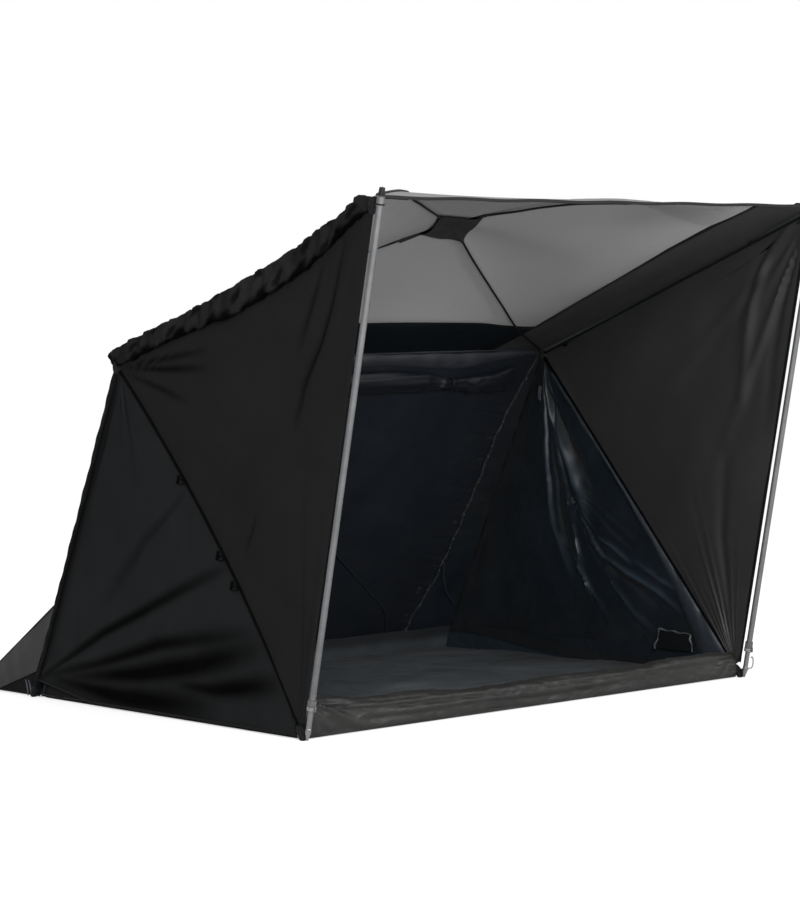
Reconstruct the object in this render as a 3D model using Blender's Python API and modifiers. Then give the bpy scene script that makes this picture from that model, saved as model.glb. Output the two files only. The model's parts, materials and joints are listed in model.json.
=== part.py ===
"""Ridge tent with its front panel lifted on two posts as an awning.

Metres, X to the right, Y to the back, +Z up. The origin is on the ground, in the middle
of the floor. The places below are counted from the floor's front edge, and each object is
then moved forwards by half the floor's depth.
"""

import math

import bmesh
import bpy
from mathutils import Matrix, Vector

OBJECT_NAME = "ridge_tent"

# Driving dimensions of the tent
FLOOR_WIDTH = 2.36
FLOOR_DEPTH = 2.05
RIDGE_BACK = 1.24
RIDGE_HEIGHT = 1.48
AWNING_WIDTH = 2.30
AWNING_REACH = 0.53
AWNING_HEIGHT = 2.03
ROOF_RISE = 0.25
ROOF_BORDER = 0.30
REAR_PANEL_FULLNESS = 1.2
REAR_RIB_FULLNESS = 1.4
FRONT_PANEL_FULLNESS = 1.4
FRONT_RIB_FULLNESS = 3.0
RAFTER_BOW_IN = 0.030
RAFTER_BOW_FORWARDS = 0.040

# Cloth and the gap that touching pieces keep
CLOTH = 0.003
GAP = 0.0003

# Floor tray
SILL_HEIGHT = 0.145
SILL_CORNER = 0.06
TRAY_HEIGHT = 0.12
TRAY_LEAN = 0.014
TRAY_END = 0.06
TRAY_CORNER = 0.02
FLOOR_CORNER = 0.04
FLOOR_BACK_GAP = 0.006
FITTING_ROOM = 0.03

# Frame rods and their corner fittings
RAFTER_RADIUS = 0.008
RAFTER_SEAM = 0.0009
RIB_RADIUS = 0.005
FITTING_RADIUS = 0.022
JOINT_DROP = 0.0239
HUB_REACH = 0.13
HUB_THICKNESS = 0.012
HUB_TIP_HALF_WIDTH = 0.010
HUB_WAIST = 0.27
RIB_SOCKET = 0.012
RIB_STEPS = 15
FIRST_RIB_STEP = 3
HUB_CLEARANCE = 0.026
RIB_CLEARANCE = 0.012

# Seams of the side sheets, as shares of a rafter, and their corners at the ground
WALL_SEAM = (0.02, 0.97)
WING_SEAM = (0.03, 0.955)
WALL_CORNER = 0.05
WALL_CORNER_SHARPNESS = 12
WING_EDGE_LOW = 0.06
WING_EDGE_HIGH = 0.03
SIDE_COLUMNS = 8
SIDE_ROWS = 14
RAFTER_STEPS = 12

# Valances and the front hem
VALANCE_ABOVE = 0.020
VALANCE_BELOW = 0.070
VALANCE_END = 0.05
HEM_HEIGHT = 0.025
HEM_BELOW = 0.010

# Rear wall, its band and its rolled flap
BAND_DEPTH = 0.09
BAND_CORNER = 0.07
BAND_BELOW_ROOF = 0.002
ROLL_LENGTH = 2.00
ROLL_DEPTH = 0.13
ROLL_THICKNESS = 0.05
ROLL_DROP = 0.17

# Rear apron
APRON_TOP = 0.43
APRON_BACK = 2.44
APRON_LIP = 0.09
APRON_END_LOW = 0.08
APRON_TOE = 0.03
APRON_SIDE_GAP = 0.004
APRON_CORNER = 0.03
APRON_SEAM = 0.0021
APRON_EDGE = 0.001
APRON_CORD_RADIUS = 0.003
CORD_HEIGHT = 0.045
CORD_ASIDE = 0.15
CORD_BACK = 0.05

# Front posts
POST_RADIUS = 0.0125
POST_WALL = 0.0015
LEG_RADIUS = 0.0105
LEG_SHOWN = 0.125
LEG_LENGTH = 0.62
POST_STANDOFF = 0.036
POST_ABOVE = 0.035
COLLAR_RADIUS = 0.018
COLLAR_LENGTH = 0.045
CAP_RADIUS = 0.015
CAP_LENGTH = 0.040
SPIKE_RADIUS = 0.003
SPIKE_LENGTH = 0.035
FOOT_RADIUS = 0.0115
FOOT_TOP = 0.048
FOOT_CONE = 0.030
FOOT_TIP_RADIUS = 0.004
FOOT_TIP = 0.0015
FOOT_LIFT = 0.001
BEVEL = 0.004
AWNING_FITTING_RADIUS = POST_STANDOFF - CAP_RADIUS - GAP

HALF_WIDTH = FLOOR_WIDTH / 2
HALF_AWNING = AWNING_WIDTH / 2
TO_MIDDLE = Matrix.Translation((0.0, -FLOOR_DEPTH / 2, 0.0))

# Corners on the right side; the left side takes them with X negated
FRONT_FOOT = Vector((HALF_WIDTH, 0.0, FITTING_RADIUS + GAP))
REAR_FOOT = Vector((HALF_WIDTH, FLOOR_DEPTH, FITTING_RADIUS + GAP))
RIDGE_JOINT = Vector((HALF_WIDTH, RIDGE_BACK, RIDGE_HEIGHT - JOINT_DROP))
AWNING_JOINT = Vector((HALF_AWNING, -AWNING_REACH, AWNING_HEIGHT - JOINT_DROP))

SIDES = {"left": -1.0, "right": 1.0}

# Colour, roughness and metallic value of each material
FINISHES = {
    "black_cloth": ((0.022, 0.022, 0.024), 0.75, 0.0),
    "wall_cloth": ((0.018, 0.020, 0.026), 0.65, 0.0),
    "roof_cloth": ((0.16, 0.16, 0.17), 0.80, 0.0),
    "floor_cloth": ((0.030, 0.034, 0.040), 0.60, 0.0),
    "apron_cloth": ((0.075, 0.075, 0.08), 0.75, 0.0),
    "frame_black": ((0.012, 0.012, 0.012), 0.45, 0.0),
    "post_aluminium": ((0.45, 0.45, 0.46), 0.32, 1.0),
    "cord_black": ((0.010, 0.010, 0.010), 0.85, 0.0),
}


def clear_scene():
    """Removes every object of the open scene."""
    for item in list(bpy.data.objects):
        bpy.data.objects.remove(item, do_unlink=True)


def make_materials():
    """Returns one Principled material for each entry of FINISHES."""
    made = {}
    for name, (colour, roughness, metallic) in FINISHES.items():
        material = bpy.data.materials.new(name)
        material.use_nodes = True
        shader = material.node_tree.nodes["Principled BSDF"]
        shader.inputs["Base Color"].default_value = (*colour, 1.0)
        shader.inputs["Roughness"].default_value = roughness
        shader.inputs["Metallic"].default_value = metallic
        made[name] = material
    return made


def add_object(name, data, material, place=None):
    """Links new data as a named object of the tent, with its own copy of a material."""
    obj = bpy.data.objects.new(name, data)
    own = MATERIALS[material].copy()
    own.name = f"{name}_{material}"
    data.materials.append(own)
    obj.matrix_world = TO_MIDDLE @ (place or Matrix.Identity(4))
    TENT.objects.link(obj)
    return obj


def mirrored(point, sign):
    """Returns a right-hand point on the side that the sign names."""
    return Vector((sign * point.x, point.y, point.z))


def between(start, end, share):
    """Returns the number at a share of the way from start to end."""
    return start + (end - start) * share


def frame_of(corners):
    """Returns a matrix with X along the first edge and Z normal to the flat corners."""
    origin = corners[0]
    along = (corners[1] - origin).normalized()
    normal = along.cross(corners[-1] - origin).normalized()
    across = normal.cross(along)
    turn = Matrix((along, across, normal)).transposed().to_4x4()
    return Matrix.Translation(origin) @ turn


def cross_flat(one, other):
    """Returns the cross product of two flat vectors."""
    return one.x * other.y - one.y * other.x


def inset_outline(points, insets):
    """Moves each edge of a convex outline inwards by its own distance."""
    lines = []
    for index, start in enumerate(points):
        end = points[(index + 1) % len(points)]
        heading = (end - start).normalized()
        inwards = Vector((-heading.y, heading.x))
        lines.append((start + inwards * insets[index], heading))
    moved = []
    for index, (start, heading) in enumerate(lines):
        before, turned = lines[index - 1]
        reach = cross_flat(start - before, heading) / cross_flat(turned, heading)
        moved.append(before + turned * reach)
    return moved


def cut_corners(points, cuts):
    """Bevels each corner of an outline by its own length; zero keeps it sharp."""
    shape = []
    for index, corner in enumerate(points):
        if cuts[index] == 0.0:
            shape.append(corner)
            continue
        before = points[index - 1]
        after = points[(index + 1) % len(points)]
        shape.append(corner + (before - corner).normalized() * cuts[index])
        shape.append(corner + (after - corner).normalized() * cuts[index])
    return shape


def cloth_panel(name, corners, insets, cuts, material, lift=0.0, thickness=CLOTH):
    """Makes a flat sheet from its corners in space, its edge insets and corner cuts."""
    place = frame_of(corners)
    inverse = place.inverted()
    flat = [(inverse @ corner).to_2d() for corner in corners]
    shape = cut_corners(inset_outline(flat, insets), cuts)
    curve = bpy.data.curves.new(name, "CURVE")
    curve.dimensions = "2D"
    curve.fill_mode = "BOTH"
    curve.extrude = thickness / 2
    spline = curve.splines.new("POLY")
    spline.points.add(len(shape) - 1)
    for point, corner in zip(spline.points, shape):
        point.co = (corner.x, corner.y, 0.0, 1.0)
    spline.use_cyclic_u = True
    return add_object(name, curve, material, place @ Matrix.Translation((0.0, 0.0, lift)))


def rod(name, points, radius, material, sides=2):
    """Makes a round rod with closed ends along its points."""
    curve = bpy.data.curves.new(name, "CURVE")
    curve.dimensions = "3D"
    curve.bevel_depth = radius
    curve.bevel_resolution = sides
    curve.use_fill_caps = True
    spline = curve.splines.new("POLY")
    spline.points.add(len(points) - 1)
    for point, place in zip(spline.points, points):
        point.co = (*place, 1.0)
    return add_object(name, curve, material)


def ball(name, centre, radius, material):
    """Makes a round fitting."""
    mesh = bpy.data.meshes.new(name)
    shape = bmesh.new()
    bmesh.ops.create_uvsphere(shape, u_segments=20, v_segments=12, radius=radius)
    shape.to_mesh(mesh)
    shape.free()
    mesh.shade_smooth()
    return add_object(name, mesh, material, Matrix.Translation(centre))


def turned(name, profile, place, material, steps=20):
    """Turns a profile of radius and height round the local Z axis, outer side first."""
    mesh = bpy.data.meshes.new(name)
    shape = bmesh.new()
    points = [shape.verts.new((radius, 0.0, height)) for radius, height in profile]
    for start, end in zip(points, points[1:]):
        shape.edges.new((start, end))
    if profile[0][0] > 0.0 and profile[-1][0] > 0.0:
        shape.edges.new((points[-1], points[0]))
    shape.to_mesh(mesh)
    shape.free()
    obj = add_object(name, mesh, material, place)
    screw = obj.modifiers.new("turn", "SCREW")
    screw.steps = steps
    screw.render_steps = steps
    screw.use_merge_vertices = True
    screw.merge_threshold = 0.00001
    screw.use_smooth_shade = False
    return obj


def roof_point(across, along):
    """Returns a point of the roof from left to right and from the ridge to the front.

    The four ribs lift a hipped dome. It is steeper behind the hub, fuller in front of it,
    hollower between the ribs than over them, and flat in the side and rear borders.
    """
    half = between(HALF_WIDTH, HALF_AWNING, along)
    aside = 2 * across - 1
    forwards = 2 * along - 1
    flat = Vector((aside * half,
                   between(RIDGE_BACK, -AWNING_REACH, along),
                   between(RIDGE_HEIGHT, AWNING_HEIGHT, along)))
    aside = abs(aside) / DOME_SIDE
    forwards /= DOME_REAR if forwards < 0 else DOME_FRONT
    out = max(aside, abs(forwards), 0.001)
    if out >= 1:
        return flat
    over_rib = (min(aside, abs(forwards)) / out) ** 2
    rear = between(REAR_PANEL_FULLNESS, REAR_RIB_FULLNESS, over_rib)
    front = between(FRONT_PANEL_FULLNESS, FRONT_RIB_FULLNESS, over_rib)
    fullness = between(rear, front, 0.5 + 0.5 * forwards / out)
    return flat + ROOF_UP * (ROOF_RISE * (1 - out ** fullness))


ROOF_RUN = Vector((0.0, RIDGE_BACK + AWNING_REACH, RIDGE_HEIGHT - AWNING_HEIGHT))
ROOF_UP = Vector((1.0, 0.0, 0.0)).cross(ROOF_RUN).normalized()

# Where the dome ends, as shares of the way from the roof's middle to its edges
DOME_SIDE = 1 - 2 * ROOF_BORDER / FLOOR_WIDTH
DOME_REAR = 1 - 2 * ROOF_BORDER / ROOF_RUN.length
DOME_FRONT = 0.98


def roof_patch(name, across, along, columns, rows, material):
    """Makes the piece of the roof between two shares across and two shares along."""
    mesh = bpy.data.meshes.new(name)
    shape = bmesh.new()
    bmesh.ops.create_grid(shape, x_segments=columns, y_segments=rows, size=0.5)
    for vertex in shape.verts:
        share_across = between(across[0], across[1], vertex.co.x + 0.5)
        share_along = between(along[0], along[1], 0.5 - vertex.co.y)
        vertex.co = roof_point(share_across, share_along) - ROOF_UP * (CLOTH / 2)
    raised = bmesh.ops.extrude_face_region(shape, geom=shape.faces[:])
    upper = [item for item in raised["geom"] if isinstance(item, bmesh.types.BMVert)]
    bmesh.ops.translate(shape, verts=upper, vec=ROOF_UP * CLOTH)
    bmesh.ops.recalc_face_normals(shape, faces=shape.faces)
    shape.to_mesh(mesh)
    shape.free()
    return add_object(name, mesh, material)


def ruled_sheet(name, first, second, material):
    """Makes a sheet of straight lines between two edges, each a function of 0 to 1."""
    mesh = bpy.data.meshes.new(name)
    shape = bmesh.new()
    bmesh.ops.create_grid(shape, x_segments=SIDE_COLUMNS, y_segments=SIDE_ROWS, size=0.5)
    for vertex in shape.verts:
        along = vertex.co.y + 0.5
        vertex.co = first(along).lerp(second(along), vertex.co.x + 0.5)
    shape.to_mesh(mesh)
    shape.free()
    obj = add_object(name, mesh, material)
    solid = obj.modifiers.new("cloth", "SOLIDIFY")
    solid.thickness = CLOTH
    solid.offset = 0.0
    return obj


def build_floor():
    """The groundsheet and the tray walls that stand on it, with the higher front sill."""
    inner = HALF_WIDTH - CLOTH / 2 - GAP
    front = CLOTH / 2 + GAP
    back = FLOOR_DEPTH - FLOOR_BACK_GAP
    middle = CLOTH / 2
    corners = [Vector((-inner, front, middle)), Vector((inner, front, middle)),
               Vector((inner, back, middle)), Vector((-inner, back, middle))]
    cloth_panel("floor", corners, [0] * 4, [FLOOR_CORNER] * 4, "floor_cloth")
    base = CLOTH + GAP
    reach = HALF_WIDTH - FITTING_ROOM
    sill = front + CLOTH / 2
    corners = [Vector((-reach, sill, base)), Vector((reach, sill, base)),
               Vector((reach, sill, SILL_HEIGHT)), Vector((-reach, sill, SILL_HEIGHT))]
    cloth_panel("sill_front", corners, [0] * 4, [0, 0, SILL_CORNER, SILL_CORNER], "floor_cloth")
    front_slope = RIDGE_BACK / RIDGE_HEIGHT
    rear_slope = (FLOOR_DEPTH - RIDGE_BACK) / RIDGE_HEIGHT
    for side, sign in SIDES.items():
        x = sign * (inner - CLOTH)
        top_x = x - sign * TRAY_LEAN
        low = (TRAY_END, FLOOR_DEPTH - TRAY_END)
        high = (low[0] + TRAY_HEIGHT * front_slope, low[1] - TRAY_HEIGHT * rear_slope)
        corners = [Vector((x, low[0], base)), Vector((x, low[1], base)),
                   Vector((top_x, high[1], TRAY_HEIGHT)), Vector((top_x, high[0], TRAY_HEIGHT))]
        cloth_panel(f"tray_{side}", corners, [0] * 4, [0] * 4, "floor_cloth")
    lean = Vector((0.0, -rear_slope, 1.0))
    foot = back - FLOOR_BACK_GAP
    corners = [Vector((-reach, foot, base + GAP * 3)), Vector((reach, foot, base + GAP * 3)),
               Vector((reach, foot, base)) + lean * TRAY_HEIGHT,
               Vector((-reach, foot, base)) + lean * TRAY_HEIGHT]
    cloth_panel("tray_rear", corners, [0] * 4, [0, 0, TRAY_CORNER, TRAY_CORNER], "floor_cloth")


def rafter_line(low, high, bow):
    """Returns the function of 0 to 1 that a rafter's axis follows, bowed sideways."""
    def place(share):
        return low.lerp(high, share) + bow * (4 * share * (1 - share))
    return place


def beside(line, offset, shares):
    """Returns the part of a line between two shares, moved by an offset."""
    def place(share):
        return line(between(shares[0], shares[1], share)) + offset
    return place


def to_ground(line, foot, step):
    """Returns a wall's edge line whose lowest end turns to the ground beside its foot."""
    corner = Vector((foot.x, foot.y + step, CLOTH / 2))

    def place(share):
        return line(share).lerp(corner, (1 - share) ** WALL_CORNER_SHARPNESS)
    return place


def seam_offset(heading, towards):
    """Returns the step off a rafter's axis to its seam, towards a point beside it."""
    aside = towards - heading * towards.dot(heading)
    return aside.normalized() * (RAFTER_RADIUS + RAFTER_SEAM)


def build_side(side, sign):
    """One side: its rafters, fittings, three-cornered wall, wing and valance."""
    foot = mirrored(FRONT_FOOT, sign)
    rear = mirrored(REAR_FOOT, sign)
    ridge = mirrored(RIDGE_JOINT, sign)
    awning = mirrored(AWNING_JOINT, sign)
    ball(f"front_corner_{side}", foot, FITTING_RADIUS, "frame_black")
    ball(f"rear_corner_{side}", rear, FITTING_RADIUS, "frame_black")
    ball(f"ridge_corner_{side}", ridge, FITTING_RADIUS, "frame_black")
    ball(f"awning_corner_{side}", awning, AWNING_FITTING_RADIUS, "frame_black")
    front_heading = (ridge - foot).normalized()
    rear_heading = (ridge - rear).normalized()
    seat = front_heading * (FITTING_RADIUS + GAP)
    bow = Vector((-sign * RAFTER_BOW_IN, -RAFTER_BOW_FORWARDS, 0.0))
    front_line = rafter_line(foot + seat, ridge - seat, bow)
    seat = rear_heading * (FITTING_RADIUS + GAP)
    rear_line = rafter_line(rear + seat, ridge - seat, Vector((0.0, 0.0, 0.0)))
    points = [front_line(step / RAFTER_STEPS) for step in range(RAFTER_STEPS + 1)]
    rod(f"rafter_front_{side}", points, RAFTER_RADIUS, "frame_black")
    rod(f"rafter_rear_{side}", [rear_line(0.0), rear_line(1.0)], RAFTER_RADIUS, "frame_black")
    rear_edge = beside(rear_line, seam_offset(rear_heading, foot - rear), WALL_SEAM)
    front_edge = beside(front_line, seam_offset(front_heading, rear - foot), WALL_SEAM)
    ruled_sheet(f"side_wall_{side}", to_ground(rear_edge, rear, -WALL_CORNER),
                to_ground(front_edge, foot, WALL_CORNER), "wall_cloth")
    seam = beside(front_line, seam_offset(front_heading, awning - foot), WING_SEAM)
    build_wing(side, seam, foot, awning)
    build_valance(side, sign, foot, ridge, awning)


def build_wing(side, seam, foot, awning):
    """The wing between the bowed front rafter and its free front edge."""
    up = (awning - foot).normalized()
    low = foot + up * WING_EDGE_LOW
    high = awning - up * WING_EDGE_HIGH

    def front(share):
        return low.lerp(high, share)
    ruled_sheet(f"wing_{side}", seam, front, "black_cloth")


def build_valance(side, sign, foot, ridge, awning):
    """The valance along one side of the roof, outside the wing."""
    along = (awning - ridge).normalized()
    face = along.cross(foot - ridge).normalized()
    up = face.cross(along)
    if up.z < 0:
        up = -up
    outwards = face * math.copysign(CLOTH + GAP, face.x * sign)
    clear = along * VALANCE_END
    high = up * VALANCE_ABOVE + outwards
    low = -up * VALANCE_BELOW + outwards
    strip = [ridge + clear + low, awning - clear + low, awning - clear + high, ridge + clear + high]
    cloth_panel(f"valance_{side}", strip, [0] * 4, [0] * 4, "black_cloth")


def build_roof():
    """The domed roof in four pieces, its front hem, its hub and its four ribs."""
    side_share = ROOF_BORDER / FLOOR_WIDTH
    rear_share = ROOF_BORDER / ROOF_RUN.length
    slit = GAP / FLOOR_WIDTH
    near = side_share + slit
    roof_patch("roof_panel", (near, 1 - near), (rear_share + slit, 1), 28, 26, "roof_cloth")
    roof_patch("roof_border_left", (0, side_share), (0, 1), 3, 10, "black_cloth")
    roof_patch("roof_border_right", (1 - side_share, 1), (0, 1), 3, 10, "black_cloth")
    roof_patch("roof_border_rear", (near, 1 - near), (0, rear_share), 10, 3, "black_cloth")
    front = -AWNING_REACH - CLOTH / 2 - GAP * 3
    low = AWNING_HEIGHT - HEM_BELOW
    reach = HALF_AWNING - FITTING_ROOM
    hem = [Vector((-reach, front, low)), Vector((reach, front, low)),
           Vector((reach, front, low + HEM_HEIGHT)), Vector((-reach, front, low + HEM_HEIGHT))]
    cloth_panel("roof_hem_front", hem, [0] * 4, [0] * 4, "apron_cloth")
    build_hub_and_ribs()


def build_hub_and_ribs():
    """The hub plate under the top of the roof, and a rib from each of its tips."""
    drop = CLOTH / 2 + HUB_THICKNESS / 2 + HUB_CLEARANCE
    centre = roof_point(0.5, 0.5) - ROOF_UP * drop
    across = Vector((1.0, 0.0, 0.0))
    along = ROOF_RUN.normalized()
    place = Matrix.Translation(centre) @ Matrix((across, along, ROOF_UP)).transposed().to_4x4()
    targets = {"front_left": (mirrored(AWNING_JOINT, -1), 0, 1, AWNING_FITTING_RADIUS),
               "front_right": (AWNING_JOINT.copy(), 1, 1, AWNING_FITTING_RADIUS),
               "rear_right": (RIDGE_JOINT.copy(), 1, 0, FITTING_RADIUS),
               "rear_left": (mirrored(RIDGE_JOINT, -1), 0, 0, FITTING_RADIUS)}
    tips = []
    for name, (target, share_across, share_along, radius) in targets.items():
        towards = place.inverted().to_3x3() @ (target - centre)
        tip = towards.to_2d().normalized() * HUB_REACH
        tips.append(tip)
        heading = tip.normalized()
        points = [place @ (heading * (HUB_REACH + GAP)).to_3d(),
                  place @ (heading * (HUB_REACH + RIB_SOCKET)).to_3d()]
        for step in range(FIRST_RIB_STEP, RIB_STEPS):
            share = step / RIB_STEPS
            under = roof_point(between(0.5, share_across, share), between(0.5, share_along, share))
            points.append(under - ROOF_UP * (CLOTH / 2 + RIB_RADIUS + RIB_CLEARANCE))
        heading = (points[-1] - target).normalized()
        points.append(target + heading * (radius + GAP))
        rod(f"rib_{name}", points, RIB_RADIUS, "frame_black")
    add_hub(tips, place)


def add_hub(tips, place):
    """Makes the hub plate: four tips, with each side between them curved inwards."""
    curve = bpy.data.curves.new("roof_hub", "CURVE")
    curve.dimensions = "2D"
    curve.fill_mode = "BOTH"
    curve.extrude = HUB_THICKNESS / 2
    shape = []
    for index, tip in enumerate(tips):
        after = tips[(index + 1) % len(tips)]
        aside = Vector((-tip.y, tip.x)).normalized() * HUB_TIP_HALF_WIDTH
        if aside.dot(after) < 0:
            aside = -aside
        shape.append(tip - aside)
        shape.append(tip + aside)
        shape.append((tip + after) * HUB_WAIST)
    spline = curve.splines.new("POLY")
    spline.points.add(len(shape) - 1)
    for point, corner in zip(spline.points, shape):
        point.co = (corner.x, corner.y, 0.0, 1.0)
    spline.use_cyclic_u = True
    add_object("roof_hub", curve, "frame_black", place)


def build_rear():
    """The rear wall, the band under the ridge, the rolled flap and the pegged apron."""
    left_ridge, right_ridge = mirrored(RIDGE_JOINT, -1), RIDGE_JOINT.copy()
    left_foot, right_foot = mirrored(REAR_FOOT, -1), REAR_FOOT.copy()
    down = (right_foot - right_ridge).normalized()
    edge = RAFTER_RADIUS + GAP
    band = [left_ridge + down * BAND_DEPTH, right_ridge + down * BAND_DEPTH, right_ridge, left_ridge]
    cloth_panel("ridge_band", band, [GAP, edge, BAND_BELOW_ROOF - JOINT_DROP, edge],
                [0, 0, BAND_CORNER, BAND_CORNER], "black_cloth")
    wall = [left_foot, right_foot, right_ridge + down * BAND_DEPTH, left_ridge + down * BAND_DEPTH]
    ground = (GAP * 5 - left_foot.z) / abs(down.z)
    cloth_panel("rear_wall", wall, [ground, edge, 0, edge], [WALL_CORNER, WALL_CORNER, 0, 0],
                "wall_cloth")
    inwards = Vector((1.0, 0.0, 0.0)).cross(down).normalized()
    if inwards.y > 0:
        inwards = -inwards
    off_wall = CLOTH / 2 + GAP + ROLL_THICKNESS / 2
    middle = Vector((0.0, RIDGE_BACK, RIDGE_JOINT.z)) + down * ROLL_DROP + inwards * off_wall
    mesh = bpy.data.meshes.new("rear_flap_roll")
    shape = bmesh.new()
    bmesh.ops.create_cone(shape, cap_ends=True, segments=20, radius1=0.5, radius2=0.5, depth=1.0)
    size = Matrix.Diagonal((ROLL_THICKNESS, ROLL_DEPTH, ROLL_LENGTH, 1.0))
    turn = Matrix((inwards, down, inwards.cross(down))).transposed().to_4x4()
    bmesh.ops.transform(shape, matrix=turn @ size, verts=shape.verts)
    shape.to_mesh(mesh)
    shape.free()
    add_object("rear_flap_roll", mesh, "wall_cloth", Matrix.Translation(middle))
    build_apron(down, -inwards)


def build_apron(down, outwards):
    """The apron pegged out behind: its sloping sheet, its lip, its two ends and its cords."""
    face = outwards * (CLOTH / 2 + GAP * 2)
    top_share = (RIDGE_JOINT.z - APRON_TOP) / abs(down.z)
    joint = Vector((0.0, RIDGE_BACK, RIDGE_JOINT.z)) + down * top_share
    lip = Vector((0.0, APRON_BACK, APRON_LIP))
    toe = Vector((0.0, APRON_BACK - APRON_TOE, 0.0))
    end_x = HALF_WIDTH - APRON_SIDE_GAP
    half = Vector((end_x - CLOTH / 2 - GAP, 0.0, 0.0))
    top = joint + face
    sheet = [lip - half, lip + half, top + half, top - half]
    cloth_panel("rear_apron", sheet, [0, 0, APRON_SEAM, 0], [0, 0, APRON_CORNER, APRON_CORNER],
                "apron_cloth")
    lip_sheet = [toe - half, toe + half, lip + half, lip - half]
    cloth_panel("apron_lip", lip_sheet, [APRON_EDGE, 0, APRON_EDGE * 4, 0], [0] * 4, "apron_cloth")
    low = joint + down * ((joint.z - APRON_END_LOW) / abs(down.z))
    rafter_edge = RAFTER_RADIUS + GAP
    for side, sign in SIDES.items():
        inside = Vector((sign * end_x, 0.0, 0.0))
        end = [low + inside, toe + inside, lip + inside, joint + inside]
        cloth_panel(f"apron_end_{side}", end, [APRON_EDGE * 2, APRON_EDGE, APRON_EDGE, rafter_edge],
                    [0] * 4, "apron_cloth")
        run = Vector((sign * CORD_ASIDE, CORD_BACK, APRON_CORD_RADIUS + GAP - CORD_HEIGHT))
        lean = math.sqrt(1.0 - (run.x / run.length) ** 2)
        cord_x = end_x + CLOTH / 2 + GAP + APRON_CORD_RADIUS * lean
        start = Vector((sign * cord_x, APRON_BACK - APRON_TOE, CORD_HEIGHT))
        rod(f"apron_cord_{side}", [start, start + run], APRON_CORD_RADIUS, "cord_black")


def build_post(side, sign):
    """One leaning front post: tube, sliding leg with its foot, collar and spiked cap."""
    foot = mirrored(FRONT_FOOT, sign)
    awning = mirrored(AWNING_JOINT, sign)
    ridge = mirrored(RIDGE_JOINT, sign)
    up = (awning - foot).normalized()
    back = (ridge - foot) - up * (ridge - foot).dot(up)
    forwards = -back.normalized()
    aside = up.cross(forwards)
    axis = foot + forwards * POST_STANDOFF
    tip = axis - up * (axis.z / up.z)
    tip.z += FOOT_LIFT
    place = Matrix.Translation(tip) @ Matrix((forwards, aside, up)).transposed().to_4x4()
    top = (awning - foot).length + (foot - tip).dot(up) + POST_ABOVE - CAP_LENGTH
    bore = POST_RADIUS - POST_WALL
    tube = [(POST_RADIUS, top), (POST_RADIUS, LEG_SHOWN), (bore, LEG_SHOWN), (bore, top)]
    turned(f"post_tube_{side}", tube, place, "post_aluminium")
    leg = [(0.0, LEG_LENGTH), (LEG_RADIUS, LEG_LENGTH), (LEG_RADIUS, FOOT_TOP + FOOT_TIP),
           (FOOT_RADIUS, FOOT_TOP), (FOOT_RADIUS, FOOT_CONE), (FOOT_TIP_RADIUS, FOOT_TIP), (0.0, 0.0)]
    turned(f"post_leg_{side}", leg, place, "post_aluminium")
    low = LEG_SHOWN - BEVEL
    high = low + COLLAR_LENGTH
    inner = POST_RADIUS + GAP
    collar = [(COLLAR_RADIUS, high), (COLLAR_RADIUS, low), (inner, low), (inner, high)]
    turned(f"post_collar_{side}", collar, place, "frame_black")
    base = top + GAP
    crown = base + CAP_LENGTH
    point = crown + SPIKE_LENGTH
    cap = [(0.0, point), (SPIKE_RADIUS, point - BEVEL), (SPIKE_RADIUS, crown),
           (CAP_RADIUS - BEVEL, crown), (CAP_RADIUS, crown - BEVEL), (CAP_RADIUS, base), (0.0, base)]
    turned(f"post_cap_{side}", cap, place, "frame_black")


clear_scene()
TENT = bpy.data.collections.new(OBJECT_NAME)
bpy.context.scene.collection.children.link(TENT)
MATERIALS = make_materials()
build_floor()
for SIDE, SIGN in SIDES.items():
    build_side(SIDE, SIGN)
    build_post(SIDE, SIGN)
build_roof()
build_rear()
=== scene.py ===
"""Looks of the ridge tent: its cloth, seams, webbing, frame and posts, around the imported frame.

Every length is in metres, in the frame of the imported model: X to the right seen from the open
front, Y to the rear apron, Z up, with the ground at zero.
"""

from __future__ import annotations

import json
import logging
import math
from dataclasses import dataclass, field
from enum import Enum
from typing import Callable, Sequence

import bpy
import numpy as np
from bpy.types import Material, Mesh, Node, NodeSocket, NodeTree, Object
from mathutils import Matrix, Vector

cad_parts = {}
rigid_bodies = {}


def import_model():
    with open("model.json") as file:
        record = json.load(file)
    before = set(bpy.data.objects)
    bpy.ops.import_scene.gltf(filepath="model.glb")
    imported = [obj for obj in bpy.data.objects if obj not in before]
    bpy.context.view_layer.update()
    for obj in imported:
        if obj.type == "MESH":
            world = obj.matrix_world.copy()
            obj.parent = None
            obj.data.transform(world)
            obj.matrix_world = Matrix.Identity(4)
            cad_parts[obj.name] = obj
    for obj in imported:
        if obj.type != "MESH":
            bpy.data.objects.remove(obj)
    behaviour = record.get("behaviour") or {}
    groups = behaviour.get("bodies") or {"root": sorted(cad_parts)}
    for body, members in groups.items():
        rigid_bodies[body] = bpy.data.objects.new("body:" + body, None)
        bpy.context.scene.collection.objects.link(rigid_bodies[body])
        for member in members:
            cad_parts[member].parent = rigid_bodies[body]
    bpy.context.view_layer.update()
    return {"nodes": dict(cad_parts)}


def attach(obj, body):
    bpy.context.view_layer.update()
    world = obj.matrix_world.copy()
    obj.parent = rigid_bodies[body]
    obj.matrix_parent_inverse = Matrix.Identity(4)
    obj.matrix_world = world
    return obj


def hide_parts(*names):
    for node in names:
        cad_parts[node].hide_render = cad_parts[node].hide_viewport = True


LOG = logging.getLogger("ridge_tent")
BODY = "tent"
WHITE = (1.0, 1.0, 1.0)
Array = np.ndarray
# A surface gives the places for two shares from 0 to 1: u across the sheet and v along it. A
# painted shading takes the same shares, and gives painted shade above 0 and painted light under 0.
Surface = Callable[[Array, Array], Array]
Point = tuple[float, float, float]


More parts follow.
